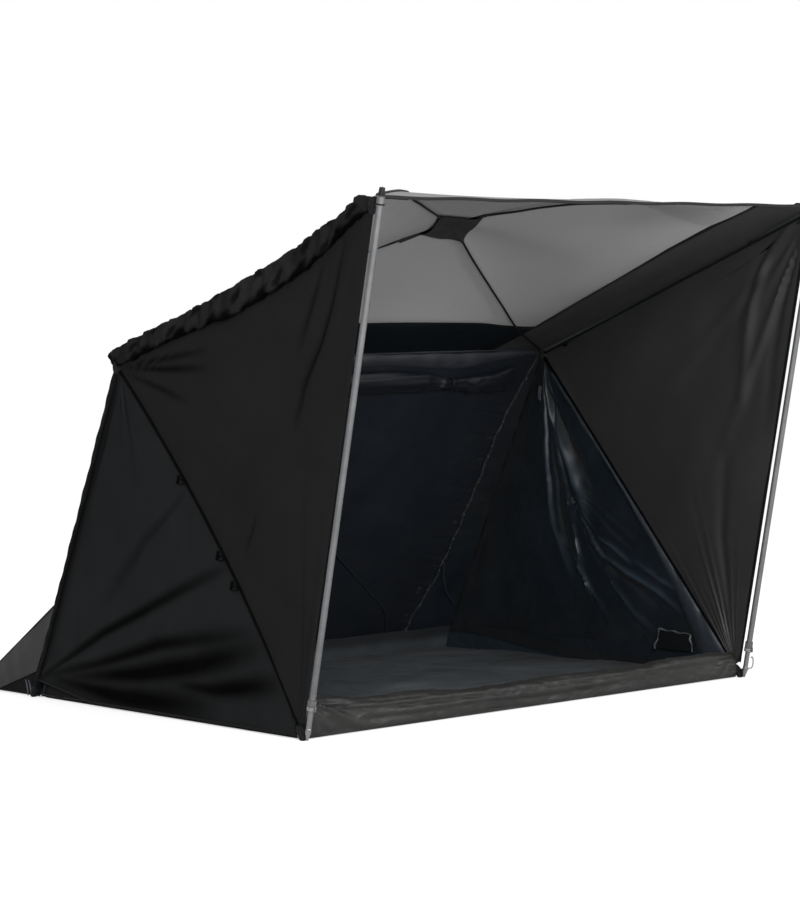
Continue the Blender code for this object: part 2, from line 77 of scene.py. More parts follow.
class Side(Enum):
    """The two sides of the tent, with the sign of X on each."""

    LEFT = -1.0
    RIGHT = 1.0

    @property
    def label(self) -> str:
        """The side's word in the names of pieces."""
        return self.name.lower()


class Coords(Enum):
    """What a finish's pattern follows."""

    UV = "UV"
    OBJECT = "Object"


class Hold(Enum):
    """How a sheet of cloth is held."""

    STRETCHED = "stretched"
    HUNG = "hung"
    LAID = "laid"


def unit(vector: Array) -> Array:
    """Returns a vector of length one."""
    return vector / np.linalg.norm(vector)


def mix(start: Array, end: Array, share: Array) -> Array:
    """Returns the points at given shares of the way between two points or rows of points."""
    share = np.asarray(share, float)[..., None]
    return start + (end - start) * share


def smooth(values: Array, low: float, high: float) -> Array:
    """Returns a soft step from 0 at low to 1 at high."""
    share = np.clip((values - low) / (high - low), 0.0, 1.0)
    return share * share * (3.0 - 2.0 * share)


# ---- the tent's measurements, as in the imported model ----


@dataclass(frozen=True)
class TentSizes:
    """Main lines of the tent, shared by all its pieces."""

    half_width: float = 1.18
    half_awning: float = 1.15
    front_y: float = -1.025
    rear_y: float = 1.025
    ridge_y: float = 0.215
    ridge_z: float = 1.48
    awning_y: float = -1.555
    awning_z: float = 2.03
    fitting_z: float = 0.0223
    joint_drop: float = 0.0239
    bow_in: float = 0.030
    bow_forwards: float = 0.040
    border: float = 0.30

    @property
    def front_lean(self) -> float:
        """How far the front of the tent runs back for each metre of height."""
        return (self.ridge_y - self.front_y) / self.ridge_z

    @property
    def rear_lean(self) -> float:
        """How far the rear of the tent runs forwards for each metre of height."""
        return (self.rear_y - self.ridge_y) / self.ridge_z

    def front_foot(self, side: Side) -> Array:
        """Returns the corner at the front of the floor."""
        return np.array([side.value * self.half_width, self.front_y, self.fitting_z])

    def rear_foot(self, side: Side) -> Array:
        """Returns the corner at the rear of the floor."""
        return np.array([side.value * self.half_width, self.rear_y, self.fitting_z])

    def ridge(self, side: Side) -> Array:
        """Returns the joint under the ridge's end."""
        return np.array([side.value * self.half_width, self.ridge_y,
                         self.ridge_z - self.joint_drop])

    def awning(self, side: Side) -> Array:
        """Returns the joint under the awning's front corner."""
        return np.array([side.value * self.half_awning, self.awning_y,
                         self.awning_z - self.joint_drop])

    def front_rafter(self, side: Side, share: Array) -> Array:
        """Returns points on the bowed rafter from the front foot to the ridge.

        Args:
            side: the side of the tent.
            share: shares of the way up.

        Returns:
            The points.
        """
        share = np.asarray(share, float)
        bow = np.array([-side.value * self.bow_in, -self.bow_forwards, 0.0])
        line = mix(self.front_foot(side), self.ridge(side), share)
        return line + bow * (4.0 * share * (1.0 - share))[..., None]

    def rear_rafter(self, side: Side, share: Array) -> Array:
        """Returns points on the straight rafter from the rear foot to the ridge."""
        return mix(self.rear_foot(side), self.ridge(side), share)

    def free_edge(self, side: Side, share: Array) -> Array:
        """Returns points on a wing's free front edge, beside the post."""
        return mix(self.front_foot(side), self.awning(side), share)

    def roof_up(self) -> Array:
        """Returns the direction square to the roof."""
        run = np.array([0.0, self.ridge_y - self.awning_y, self.ridge_z - self.awning_z])
        return unit(np.cross([1.0, 0.0, 0.0], run))

    def roof_length(self) -> float:
        """Returns the roof's length from ridge to front edge."""
        return math.hypot(self.ridge_y - self.awning_y, self.awning_z - self.ridge_z)

    def roof_plane(self, aside: Array, forwards: Array) -> Array:
        """Returns points of the flat roof, from -1 to 1 aside and from the ridge forwards.

        Args:
            aside: shares aside.
            forwards: shares from ridge to front.

        Returns:
            The points.
        """
        along = (forwards + 1.0) / 2.0
        half = self.half_width + (self.half_awning - self.half_width) * along
        y = self.ridge_y + (self.awning_y - self.ridge_y) * along
        z = self.ridge_z + (self.awning_z - self.ridge_z) * along
        return np.stack([aside * half, y, z], axis=-1)


SIZES = TentSizes()


# ---- shader helpers ----


class Tree:
    """A node tree that is written one node at a time."""

    def __init__(self, tree: NodeTree) -> None:
        """Keeps the tree."""
        self.tree = tree

    def feed(self, node: Node, inputs: dict) -> Node:
        """Gives a node's inputs their values or sockets.

        Args:
            node: the node.
            inputs: values or sockets for its inputs, by name or number.

        Returns:
            The same node.
        """
        for name, value in inputs.items():
            if isinstance(value, NodeSocket):
                self.tree.links.new(value, node.inputs[name])
            else:
                node.inputs[name].default_value = value
        return node

    def node(self, kind: str, inputs: dict | None = None, **settings: object) -> Node:
        """Adds a node.

        Args:
            kind: Blender's name of the node type, without its ShaderNode part.
            inputs: values or sockets for the node's inputs, by name or number.
            settings: the node's own settings.

        Returns:
            The new node.
        """
        made = self.tree.nodes.new(f"ShaderNode{kind}")
        for name, value in settings.items():
            setattr(made, name, value)
        return self.feed(made, inputs or {})

    def math(self, operation: str, *values: object) -> NodeSocket:
        """Adds a Math node and returns its output."""
        return self.node("Math", dict(enumerate(values)), operation=operation).outputs[0]

    def blend(self, share: object, first: object, second: object) -> NodeSocket:
        """Adds a Mix node between two colours and returns its output."""
        return self.node("Mix", {0: share, 6: first, 7: second}, data_type="RGBA",
                         blend_type="MIX").outputs[2]

    def span(self, value: object, low: float, high: float, to_low: float = 0.0,
             to_high: float = 1.0) -> NodeSocket:
        """Adds a Map Range node and returns its output."""
        return self.node("MapRange", {"Value": value, "From Min": low, "From Max": high,
                                      "To Min": to_low, "To Max": to_high}).outputs["Result"]

    def bump(self, height: object, distance: float, **normal: object) -> NodeSocket:
        """Adds a Bump node, over another normal where one is given, and returns its output."""
        return self.node("Bump", {"Height": height, "Strength": 1.0, "Distance": distance,
                                  **normal}).outputs[0]

    def group(self, tree: NodeTree, inputs: dict) -> Node:
        """Places a shared group with its own values."""
        return self.node("Group", inputs, node_tree=tree)


def new_group(name: str, numbers: dict[str, float],
              outputs: Sequence[str]) -> tuple[Tree, Node, Node]:
    """Starts a shader node group that reads a vector and numbers.

    Args:
        name: the group's name.
        numbers: the first value of each of its number inputs.
        outputs: the names of its number outputs.

    Returns:
        The group's tree, its input node and its output node.
    """
    tree = bpy.data.node_groups.new(name, "ShaderNodeTree")
    tree.interface.new_socket("Vector", in_out="INPUT", socket_type="NodeSocketVector")
    for label, value in numbers.items():
        socket = tree.interface.new_socket(label, in_out="INPUT", socket_type="NodeSocketFloat")
        socket.default_value = value
    for label in outputs:
        tree.interface.new_socket(label, in_out="OUTPUT", socket_type="NodeSocketFloat")
    return Tree(tree), tree.nodes.new("NodeGroupInput"), tree.nodes.new("NodeGroupOutput")


def new_material(name: str) -> tuple[Material, Tree, Node]:
    """Starts a material.

    Args:
        name: the material's name.

    Returns:
        The material, its node tree and its shader.
    """
    material = bpy.data.materials.new(name)
    material.use_nodes = True
    return material, Tree(material.node_tree), material.node_tree.nodes["Principled BSDF"]


def paint(colour: Point, gain: float = 1.0) -> tuple[float, ...]:
    """Returns an opaque colour, brighter or darker by a gain."""
    return (*(channel * gain for channel in colour), 1.0)


def make_weave_group() -> NodeTree:
    """Returns the group for the threads of a plain weave, with a thicker thread now and then.

    Returns:
        The group's tree.
    """
    tree, given, out = new_group("plain_weave", {"Threads": 600.0}, ("Height",))
    scaled = tree.node("VectorMath", {0: given.outputs["Vector"],
                                      "Scale": given.outputs["Threads"]}, operation="SCALE")
    parts = tree.node("SeparateXYZ", {0: scaled.outputs[0]})

    def wave(axis: int, threads: float) -> NodeSocket:
        """Returns the wave across one axis, with its pitch in threads."""
        return tree.math("SINE", tree.math("MULTIPLY", parts.outputs[axis], math.pi / threads))

    over = tree.math("MULTIPLY", wave(0, 1.0), wave(1, 1.0))
    ribs = tree.math("MAXIMUM", *(tree.math("POWER", tree.math("ABSOLUTE", wave(axis, 16.0)), 24.0)
                                  for axis in (0, 1)))
    height = tree.math("MULTIPLY_ADD", over, 0.3, tree.math("MULTIPLY_ADD", ribs, 0.5, 0.4))
    tree.feed(out, {"Height": height})
    return tree.tree


def make_crinkle_group() -> NodeTree:
    """Returns the group for the fine creases of coated cloth.

    Returns:
        The group's tree.
    """
    tree, given, out = new_group("coated_crinkles", {"Scale": 8.0}, ("Height", "Tone"))
    place, scale = given.outputs["Vector"], given.outputs["Scale"]
    warped = tree.node("TexNoise", {"Vector": place, "Scale": scale, "Detail": 2.0})
    shifted = tree.node("VectorMath", {0: warped.outputs["Color"], 1: (0.12, 0.12, 0.12)},
                        operation="MULTIPLY")
    moved = tree.node("VectorMath", {0: place, 1: shifted.outputs[0]})
    noise = tree.node("TexNoise", {"Vector": moved.outputs[0], "Scale": scale, "Detail": 5.0,
                                   "Roughness": 0.55})
    centred = tree.math("SUBTRACT", noise.outputs["Fac"], 0.5)
    ridge = tree.math("SUBTRACT", 1.0, tree.math("MULTIPLY", tree.math("ABSOLUTE", centred), 5.0))
    crease = tree.math("POWER", tree.math("MAXIMUM", ridge, 0.0), 3.0)
    tree.feed(out, {"Height": crease, "Tone": warped.outputs["Fac"]})
    return tree.tree


def make_dust_group() -> NodeTree:
    """Returns the group for dust and handling marks, soft patches with a fine grain.

    Returns:
        The group's tree.
    """
    tree, given, out = new_group("dust_and_marks", {"Scale": 2.0}, ("Mask", "Grain"))
    place = given.outputs["Vector"]
    patch = tree.node("TexNoise", {"Vector": place, "Scale": given.outputs["Scale"],
                                   "Detail": 6.0, "Roughness": 0.62})
    grain = tree.node("TexNoise", {"Vector": place, "Scale": 900.0, "Detail": 1.0})
    tree.feed(out, {"Mask": tree.span(patch.outputs["Fac"], 0.38, 0.72),
                    "Grain": grain.outputs["Fac"]})
    return tree.tree


def make_stitch_group() -> NodeTree:
    """Returns the group for one row of stitches, along V at a given place across U.

    Returns:
        The group's tree.
    """
    tree, given, out = new_group("stitch_row", {"Across": 0.004, "Pitch": 0.004}, ("Height",))
    parts = tree.node("SeparateXYZ", {0: given.outputs["Vector"]})
    off = tree.math("ABSOLUTE", tree.math(
        "SUBTRACT", tree.math("ABSOLUTE", parts.outputs[0]), given.outputs["Across"]))
    step = tree.math("FRACT", tree.math("DIVIDE", parts.outputs[1], given.outputs["Pitch"]))
    row, dash = tree.span(off, 0.0012, 0.0004), tree.span(step, 0.72, 0.60)
    tree.feed(out, {"Height": tree.math("MULTIPLY", row, dash)})
    return tree.tree


@dataclass
class Groups:
    """The shared shader groups, each built once."""

    weave: NodeTree = field(default_factory=make_weave_group)
    crinkle: NodeTree = field(default_factory=make_crinkle_group)
    dust: NodeTree = field(default_factory=make_dust_group)
    stitch: NodeTree = field(default_factory=make_stitch_group)


# how bright the painted shade in a fold's valley and the painted highlight on its crest are beside
# the cloth and its dust, and a stitch's depth
PAINTED_VALLEY_SHADE_GAIN = 0.05
PAINTED_CREST_HIGHLIGHT_GAIN = 2.6
STITCH_DEPTH = 0.0012


@dataclass(frozen=True)
class ClothFinish:
    """A coated tent cloth: its colour, gloss, weave, creases, the painted shade in its folds and
    the painted highlight on their crests.
    """

    name: str
    colour: Point
    dust_and_highlight: Point
    roughness: float = 0.62
    specular: float = 0.14
    sheen: float = 0.02
    threads: float = 700.0
    weave_depth: float = 0.00010
    crinkle_scale: float = 5.0
    crinkle_depth: float = 0.0003
    dust: float = 0.5
    folds: float = 0.85
    coords: Coords = Coords.UV
    stitched_at: float = 0.0

    def build(self, groups: Groups) -> Material:
        """Makes the material.

        Args:
            groups: the shared shader groups.

        Returns:
            The new material.
        """
        material, tree, shader = new_material(self.name)
        place = tree.node("TexCoord").outputs[self.coords.value]
        crinkle = tree.group(groups.crinkle, {"Vector": place, "Scale": self.crinkle_scale})
        dust = tree.group(groups.dust, {"Vector": place, "Scale": self.crinkle_scale * 0.35})
        weave = tree.group(groups.weave, {"Vector": place, "Threads": self.threads})
        amount = tree.math("MULTIPLY", dust.outputs["Mask"], self.dust)
        grained = tree.math("MULTIPLY_ADD", dust.outputs["Grain"], 0.25, amount)
        colour = tree.blend(grained, paint(self.colour), paint(self.dust_and_highlight))
        # painted shade in the fold valleys above 0 and a painted highlight on the fold crests under
        # 0, read from the sheet's attribute; the highlight is the dust colour made paler
        shade = tree.node("Attribute", attribute_name="fold_shade").outputs["Fac"]
        deep = tree.math("MAXIMUM", shade, 0.0)
        crest = tree.math("MAXIMUM", tree.math("MULTIPLY", shade, -1.0), 0.0)
        folded = tree.blend(tree.math("MULTIPLY", deep, self.folds), colour,
                            paint(self.colour, PAINTED_VALLEY_SHADE_GAIN))
        wear_and_highlight = tree.blend(crest, folded, paint(self.dust_and_highlight, PAINTED_CREST_HIGHLIGHT_GAIN))
        rough = tree.span(crinkle.outputs["Tone"], 0.3, 0.7, self.roughness - 0.06,
                          self.roughness + 0.08)
        normal = tree.bump(crinkle.outputs["Height"], self.crinkle_depth)
        normal = tree.bump(weave.outputs["Height"], self.weave_depth, Normal=normal)
        if self.stitched_at:
            row = tree.group(groups.stitch, {"Vector": place, "Across": self.stitched_at})
            normal = tree.bump(row.outputs["Height"], STITCH_DEPTH, Normal=normal)
        tree.feed(shader, {
            "Base Color": wear_and_highlight, "Roughness": tree.math("MULTIPLY_ADD", deep, 0.3, rough),
            "Normal": normal, "Specular IOR Level": self.specular,
            "Sheen Weight": self.sheen, "Sheen Roughness": 0.45})
        return material


@dataclass(frozen=True)
class HardFinish:
    """Metal tube, glass fibre or moulded plastic, with fine scratches and handling marks."""

    name: str
    colour: Point
    wear_and_highlight: Point
    roughness: float
    metallic: float = 0.0
    specular: float = 0.4
    grain: float = 260.0
    depth: float = 0.00008

    def build(self, groups: Groups) -> Material:
        """Makes the material.

        Args:
            groups: the shared shader groups.

        Returns:
            The new material.
        """
        material, tree, shader = new_material(self.name)
        place = tree.node("TexCoord").outputs["Object"]
        dust = tree.group(groups.dust, {"Vector": place, "Scale": 9.0})
        drawn = tree.node("Mapping", {"Vector": place, "Scale": (1.0, 1.0, 0.06)})
        lines = tree.node("TexNoise", {"Vector": drawn.outputs[0], "Scale": self.grain,
                                       "Detail": 3.0}).outputs["Fac"]
        marks = tree.math("MULTIPLY", dust.outputs["Mask"], 0.6)
        tree.feed(shader, {
            "Base Color": tree.blend(marks, paint(self.colour), paint(self.wear_and_highlight)),
            "Roughness": tree.span(lines, 0.3, 0.7, self.roughness - 0.06, self.roughness + 0.10),
            "Normal": tree.bump(lines, self.depth), "Metallic": self.metallic,
            "Specular IOR Level": self.specular})
        return material


@dataclass
class Wardrobe:
    """Every finish of the tent, as materials."""

    groups: Groups = field(default_factory=Groups)
    made: dict[str, Material] = field(default_factory=dict)

    FINISHES = (
        ClothFinish("wing_cloth", (0.0076, 0.0076, 0.0075), (0.0115, 0.0115, 0.0113),
                    roughness=0.66, specular=0.035, sheen=0.0, folds=1.0),
        ClothFinish("valance_cloth", (0.0095, 0.0095, 0.0094), (0.0160, 0.0160, 0.0157),
                    roughness=0.70, specular=0.03, sheen=0.0, folds=1.0),
        ClothFinish("wing_lining", (0.018, 0.018, 0.0178), (0.026, 0.026, 0.0255), roughness=0.50,
                    specular=0.25),
        ClothFinish("wall_cloth", (0.0076, 0.0081, 0.0087), (0.0118, 0.0125, 0.0132),
                    roughness=0.60, specular=0.035, sheen=0.0, folds=1.0),
        ClothFinish("wall_lining", (0.0032, 0.0056, 0.0084), (0.0106, 0.0160, 0.0218),
                    roughness=0.44, specular=0.38, folds=0.8),
        ClothFinish("rear_cloth", (0.0042, 0.0058, 0.0088), (0.0070, 0.0090, 0.0128),
                    roughness=0.48, specular=0.28),
        ClothFinish("roll_cloth", (0.0028, 0.0038, 0.0060), (0.0050, 0.0063, 0.0092),
                    roughness=0.46, specular=0.26),
        ClothFinish("border_cloth", (0.019, 0.0188, 0.0186), (0.027, 0.0267, 0.0263),
                    roughness=0.55, specular=0.22),
        ClothFinish("dark_border_cloth", (0.0036, 0.0058, 0.0074), (0.0068, 0.0092, 0.0108),
                    roughness=0.60, specular=0.08, sheen=0.0),
        ClothFinish("band_cloth", (0.0150, 0.0165, 0.0215), (0.0220, 0.0240, 0.0300),
                    roughness=0.50, specular=0.3),
        ClothFinish("canopy_cloth", (0.24, 0.24, 0.242), (0.27, 0.27, 0.272), roughness=0.60,
                    specular=0.2, dust=0.3, folds=0.5),
        ClothFinish("canopy_lining", (0.235, 0.235, 0.238), (0.262, 0.262, 0.265), roughness=0.60,
                    specular=0.2, dust=0.3, folds=0.5),
        ClothFinish("patch_cloth", (0.018, 0.018, 0.018), (0.030, 0.030, 0.030)),
        ClothFinish("floor_cloth", (0.021, 0.029, 0.035), (0.086, 0.098, 0.108), roughness=0.38,
                    specular=0.42, crinkle_scale=3.2, crinkle_depth=0.0010, threads=420.0,
                    dust=0.9),
        ClothFinish("sill_cloth", (0.0105, 0.0105, 0.0102), (0.031, 0.0305, 0.029), roughness=0.42,
                    specular=0.30, crinkle_scale=4.0, crinkle_depth=0.0006, threads=420.0),
        ClothFinish("apron_cloth", (0.026, 0.026, 0.027), (0.036, 0.036, 0.037),
                    roughness=0.55),
        # near-black, painted shade for the outer faces of the tray and the apron's skirt
        ClothFinish("skirt_cloth", (0.0020, 0.0020, 0.0020), (0.004, 0.004, 0.004), roughness=0.7,
                    specular=0.05),
        ClothFinish("sleeve_cloth", (0.0012, 0.0012, 0.0013), (0.0025, 0.0025, 0.0025),
                    roughness=0.70, specular=0.02, sheen=0.0, coords=Coords.OBJECT,
                    crinkle_scale=26.0),
        ClothFinish("rear_sleeve_cloth", (0.003, 0.003, 0.0033), (0.010, 0.010, 0.011),
                    roughness=0.75, specular=0.05, coords=Coords.OBJECT, crinkle_scale=30.0,
                    crinkle_depth=0.0015, dust=0.9),
        ClothFinish("seam_tape", (0.0035, 0.0035, 0.0038), (0.006, 0.006, 0.006), roughness=0.60,
                    specular=0.08, threads=900.0, stitched_at=0.004),
        ClothFinish("knobbly_seam", (0.0015, 0.0020, 0.0030), (0.010, 0.012, 0.016),
                    roughness=0.35, specular=0.6, coords=Coords.OBJECT, crinkle_scale=40.0,
                    crinkle_depth=0.0025, dust=1.0),
        ClothFinish("pale_tape", (0.034, 0.039, 0.047), (0.070, 0.078, 0.088), roughness=0.45,
                    specular=0.4, threads=900.0, stitched_at=0.004),
        ClothFinish("hem_tape", (0.010, 0.010, 0.010), (0.018, 0.018, 0.018), roughness=0.55,
                    threads=900.0, stitched_at=0.004),
        ClothFinish("gusset_cloth", (0.0150, 0.0190, 0.0250), (0.026, 0.031, 0.039),
                    roughness=0.38, specular=0.5),
        ClothFinish("webbing", (0.006, 0.006, 0.006), (0.012, 0.012, 0.012), roughness=0.65,
                    specular=0.1, threads=520.0, weave_depth=0.0005, coords=Coords.OBJECT,
                    crinkle_scale=30.0),
        ClothFinish("mesh_cloth", (0.002, 0.0025, 0.003), (0.004, 0.005, 0.006), roughness=0.8,
                    threads=260.0, weave_depth=0.0008),
        ClothFinish("cord", (0.004, 0.004, 0.004), (0.009, 0.009, 0.009), roughness=0.7,
                    specular=0.08, threads=900.0, weave_depth=0.0006, coords=Coords.OBJECT,
                    crinkle_scale=60.0),
        HardFinish("rod_black", (0.004, 0.004, 0.0045), (0.010, 0.010, 0.010), 0.42,
                   specular=0.15),
        HardFinish("moulded_black", (0.006, 0.006, 0.006), (0.014, 0.014, 0.014), 0.45,
                   specular=0.2),
        HardFinish("tube_metal", (0.13, 0.132, 0.136), (0.21, 0.21, 0.215), 0.38, metallic=0.7),
        HardFinish("leg_metal", (0.22, 0.22, 0.222), (0.34, 0.34, 0.342), 0.30, metallic=1.0),
        HardFinish("clamp_grey", (0.060, 0.060, 0.060), (0.11, 0.11, 0.11), 0.42),
        HardFinish("clamp_pale", (0.22, 0.22, 0.22), (0.33, 0.33, 0.33), 0.40),
        HardFinish("zip_teeth", (0.006, 0.008, 0.011), (0.022, 0.026, 0.031), 0.36, grain=500.0,
                   specular=0.35),
    )

    def get(self, name: str) -> Material:
        """Makes the material of a finish at its first use.

        Args:
            name: the finish's name.

        Returns:
            The material.
        """
        if name not in self.made:
            finish = next(item for item in self.FINISHES if item.name == name)
            self.made[name] = finish.build(self.groups)
        return self.made[name]


# ---- how cloth is shaped ----


@dataclass(frozen=True)
class Fan:
    """Folds that spread from a pulled point of a sheet, with painted shade between them."""

    origin: Point
    towards: Point
    spread: float
    folds: float
    reach: float
    depth: float
    seed: float = 0.0
    dark: float = 0.6

    def waves(self, points: Array, normal: Array) -> tuple[Array, Array]:
        """Finds how the folds lie.

        Args:
            points: the sheet's points.
            normal: the way that it faces.

        Returns:
            The wave from -1 to 1 and the strength at each point.
        """
        origin = np.array(self.origin)
        axis = unit(np.array(self.towards) - origin)
        aside = unit(np.cross(normal, axis))
        offset = points - origin
        along, across = offset @ axis, offset @ aside
        angle = np.degrees(np.arctan2(across, along)) / self.spread
        distance = np.hypot(along, across) / self.reach
        window = np.clip(1.0 - angle ** 2, 0.0, 1.0) ** 0.7
        ragged = 1.0 + 0.35 * np.sin(7.3 * angle + 3.1 * self.seed)
        radial = np.clip(distance / 0.2, 0.0, 1.0) * np.clip(ragged - distance, 0.0, 1.0) ** 1.2
        phase = angle * math.pi * self.folds + self.seed
        return np.cos(phase + 0.9 * np.sin(2.3 * angle + 1.7 * self.seed) + 0.5 * distance), \
            window * radial

    def height(self, points: Array, normal: Array) -> Array:
        """Returns how far each point stands out along the normal."""
        wave, strength = self.waves(points, normal)
        return self.depth * strength * (1.5 * ((wave + 1.0) / 2.0) ** 1.8 - 0.5)

    def shade(self, points: Array, normal: Array) -> Array:
        """Returns the painted shade on each point between the folds."""
        wave, strength = self.waves(points, normal)
        return self.dark * strength * np.clip(-wave, 0.0, 1.0) ** 1.5


@dataclass(frozen=True)
class Fold:
    """One fold along a line of points: a ridge on its upper side and a valley below, with painted
    shade in the valley.
    """

    line: tuple[Point, ...]
    width: float
    depth: float
    dark: float = 0.8
    valley: bool = False

    def measure(self, points: Array, normal: Array) -> tuple[Array, Array]:
        """Finds how the points lie beside the fold.

        Args:
            points: the sheet's points.
            normal: the way that it faces.

        Returns:
            The signed distance over the fold's width, and the fold's strength.
        """
        line = np.array(self.line)
        line = line - np.outer((line - points.mean(axis=0)) @ normal, normal)
        lengths = np.linalg.norm(np.diff(line, axis=0), axis=1)
        total, gone = lengths.sum(), 0.0
        nearest, signed = np.full(len(points), 1e9), np.zeros(len(points))
        share = np.zeros(len(points))
        flat = points - np.outer((points - points.mean(axis=0)) @ normal, normal)
        for start, end, length in zip(line, line[1:], lengths):
            axis = (end - start) / length
            aside = np.cross(normal, axis)
            aside = aside if aside @ np.array([0.0, -0.35, 1.0]) > 0.0 else -aside
            run = np.clip((flat - start) @ axis, 0.0, length)
            offset = flat - start - run[:, None] * axis
            distance = np.linalg.norm(offset, axis=1)
            closer = distance < nearest
            nearest = np.where(closer, distance, nearest)
            signed = np.where(closer, distance * np.sign(offset @ aside), signed)
            share = np.where(closer, (gone + run) / total, share)
            gone += length
        taper = np.sin(np.pi * np.clip(share * 0.96 + 0.02, 0.0, 1.0)) ** 0.6
        width = self.width * (0.55 + 0.9 * share)
        return signed / width, taper

    def height(self, points: Array, normal: Array) -> Array:
        """Finds the fold's relief.

        Args:
            points: the sheet's points.
            normal: the way that it faces.

        Returns:
            How far each point stands out along the normal.
        """
        across, taper = self.measure(points, normal)
        if self.valley:
            return -self.depth * taper * np.exp(-across ** 2)
        ridge = np.exp(-(across - 0.75) ** 2) - 0.75 * np.exp(-(across + 0.35) ** 2 * 1.6)
        return self.depth * taper * ridge

    def shade(self, points: Array, normal: Array) -> Array:
        """Finds the painted shade of the valley above 0 and the painted highlight of its crest
        under 0.

        Args:
            points: the sheet's points.
            normal: the way that it faces.

        Returns:
            The shade at each point.
        """
        across, taper = self.measure(points, normal)
        centre = 0.25 if self.dark > 0.0 else 0.0 if self.valley else -0.5
        return self.dark * taper * np.exp(-((across + centre) / 0.75) ** 2)


@dataclass(frozen=True)
class Gathers:
    """Small puckers along an edge or a seam, with painted shade between them."""

    start: Point
    end: Point
    pitch: float
    reach: float
    depth: float
    seed: float = 0.0
    dark: float = 0.4

    def waves(self, points: Array, normal: Array) -> tuple[Array, Array]:
        """Finds how the puckers lie.

        Args:
            points: the sheet's points.
            normal: the way that it faces.

        Returns:
            The wave from -1 to 1 and the strength at each point.
        """
        start, end = np.array(self.start), np.array(self.end)
        axis = unit(end - start)
        along = (points - start) @ axis
        off = points - start - along[:, None] * axis
        off -= (off @ normal)[:, None] * normal
        left = np.linalg.norm(end - start) - along
        inside = smooth(along, -0.02, 0.04) * smooth(left, -0.02, 0.04)
        turn = 2.0 * math.pi * along / self.pitch
        reach = self.reach * (1.0 + 0.5 * np.sin(turn / 4.3 + 2.0 * self.seed))
        uneven = 0.7 + 0.3 * np.sin(turn / 5.3)
        wave = np.sin(turn + 1.6 * np.sin(turn / 3.7 + self.seed)) * uneven
        return wave, inside * np.exp(-np.linalg.norm(off, axis=1) / reach)

    def height(self, points: Array, normal: Array) -> Array:
        """Returns how far each point stands out along the normal."""
        wave, strength = self.waves(points, normal)
        return self.depth * wave * strength

    def shade(self, points: Array, normal: Array) -> Array:
        """Returns the painted shade on each point between the puckers."""
        wave, strength = self.waves(points, normal)
        return self.dark * strength * np.clip(-wave, 0.0, 1.0)


@dataclass(frozen=True)
class Billow:
    """Soft unevenness all over a sheet, finer across one direction where it has a grain."""

    size: float
    depth: float
    seed: int = 1
    grain: Point = (0.0, 0.0, 0.0)
    stretch: float = 1.0

    def height(self, points: Array, normal: Array) -> Array:
        """Finds the soft relief.

        Args:
            points: the sheet's points.
            normal: the way that it faces; not used.

        Returns:
            How far each point stands out along the normal.
        """
        chance = np.random.default_rng(self.seed)
        grain = np.array(self.grain)
        total = np.zeros(len(points))
        for octave in range(11):
            heading = chance.normal(size=3)
            heading = heading - grain * (heading @ grain) * (1.0 - 1.0 / self.stretch)
            heading = heading / np.linalg.norm(heading)
            scale = self.size * (0.45 + 0.14 * octave)
            phase = chance.uniform(0.0, 2.0 * math.pi)
            total += np.sin((points @ heading) * 2.0 * math.pi / scale + phase
                            + 0.8 * np.sin((points @ heading[::-1]) * 4.0 / self.size))
        return self.depth * total / 3.3

    def shade(self, points: Array, normal: Array) -> Array:
        """Returns no shade, because soft unevenness has no valleys."""
        return np.zeros(len(points))


Relief = Fan | Fold | Gathers | Billow


@dataclass
class Sheet:
    """One sheet of cloth: its surface over two shares, its folds and its finish."""

    name: str
    surface: Surface
    columns: int
    rows: int
    finish: str
    facing: Point
    reliefs: tuple[Relief, ...] = ()
    pinned: tuple[float, float, float, float] = (0.05, 0.05, 0.05, 0.05)
    thickness: float = 0.0016
    replaces: tuple[str, ...] = ()
    slot: str = "black_cloth"
    hold: Hold = Hold.STRETCHED
    rests_on: tuple[str, ...] = ()
    lining: str = ""
    tone: Surface | None = None
    extras: list[Object] = field(default_factory=list)
    obj: Object | None = None
    flat: tuple[float, float] = (1.0, 1.0)
    area: float = 1.0

    def sew(self, *pieces: Object) -> None:
        """Keeps pieces that are sewn to the sheet."""
        self.extras += pieces


# the sharpest bend that is shaded smooth, how near doubles lie, how high a laid sheet lies at its
# lowest, and how sharply it bends where it meets the ground
SMOOTH_ANGLE = math.radians(50.0)
WELD = 0.00001
GROUND_GAP = 0.002
LAID_SHARPNESS = 900.0


def deselect() -> None:
    """Deselects everything."""
    bpy.ops.object.select_all(action="DESELECT")


def choose(obj: Object) -> None:
    """Selects one object alone and makes it the active one.

    Args:
        obj: the object.
    """
    deselect()
    obj.select_set(True)
    bpy.context.view_layer.objects.active = obj


def freeze(obj: Object) -> None:
    """Applies the object's place and its modifiers, so that the mesh is the finished piece.

    Args:
        obj: the object.
    """
    choose(obj)
    for modifier in list(obj.modifiers):
        bpy.ops.object.modifier_apply(modifier=modifier.name)
    bpy.ops.object.transform_apply(location=True, rotation=True, scale=True)


def turn_outwards(weld: float = 0.0) -> None:
    """Turns the active mesh's faces outwards, after merging what lies nearer than a distance.

    Args:
        weld: the distance, or 0 to merge nothing.
    """
    bpy.ops.object.mode_set(mode="EDIT")
    bpy.ops.mesh.select_all(action="SELECT")
    if weld:
        bpy.ops.mesh.remove_doubles(threshold=weld)
    bpy.ops.mesh.normals_make_consistent(inside=False)
    bpy.ops.object.mode_set(mode="OBJECT")


def stand(obj: Object, place: Array, axis: Array) -> None:
    """Turns an upright mesh to stand along an axis, and moves it to its place."""
    turn = Vector((0.0, 0.0, 1.0)).rotation_difference(Vector(axis)).to_matrix().to_4x4()
    obj.data.transform(Matrix.Translation(Vector(place)) @ turn)


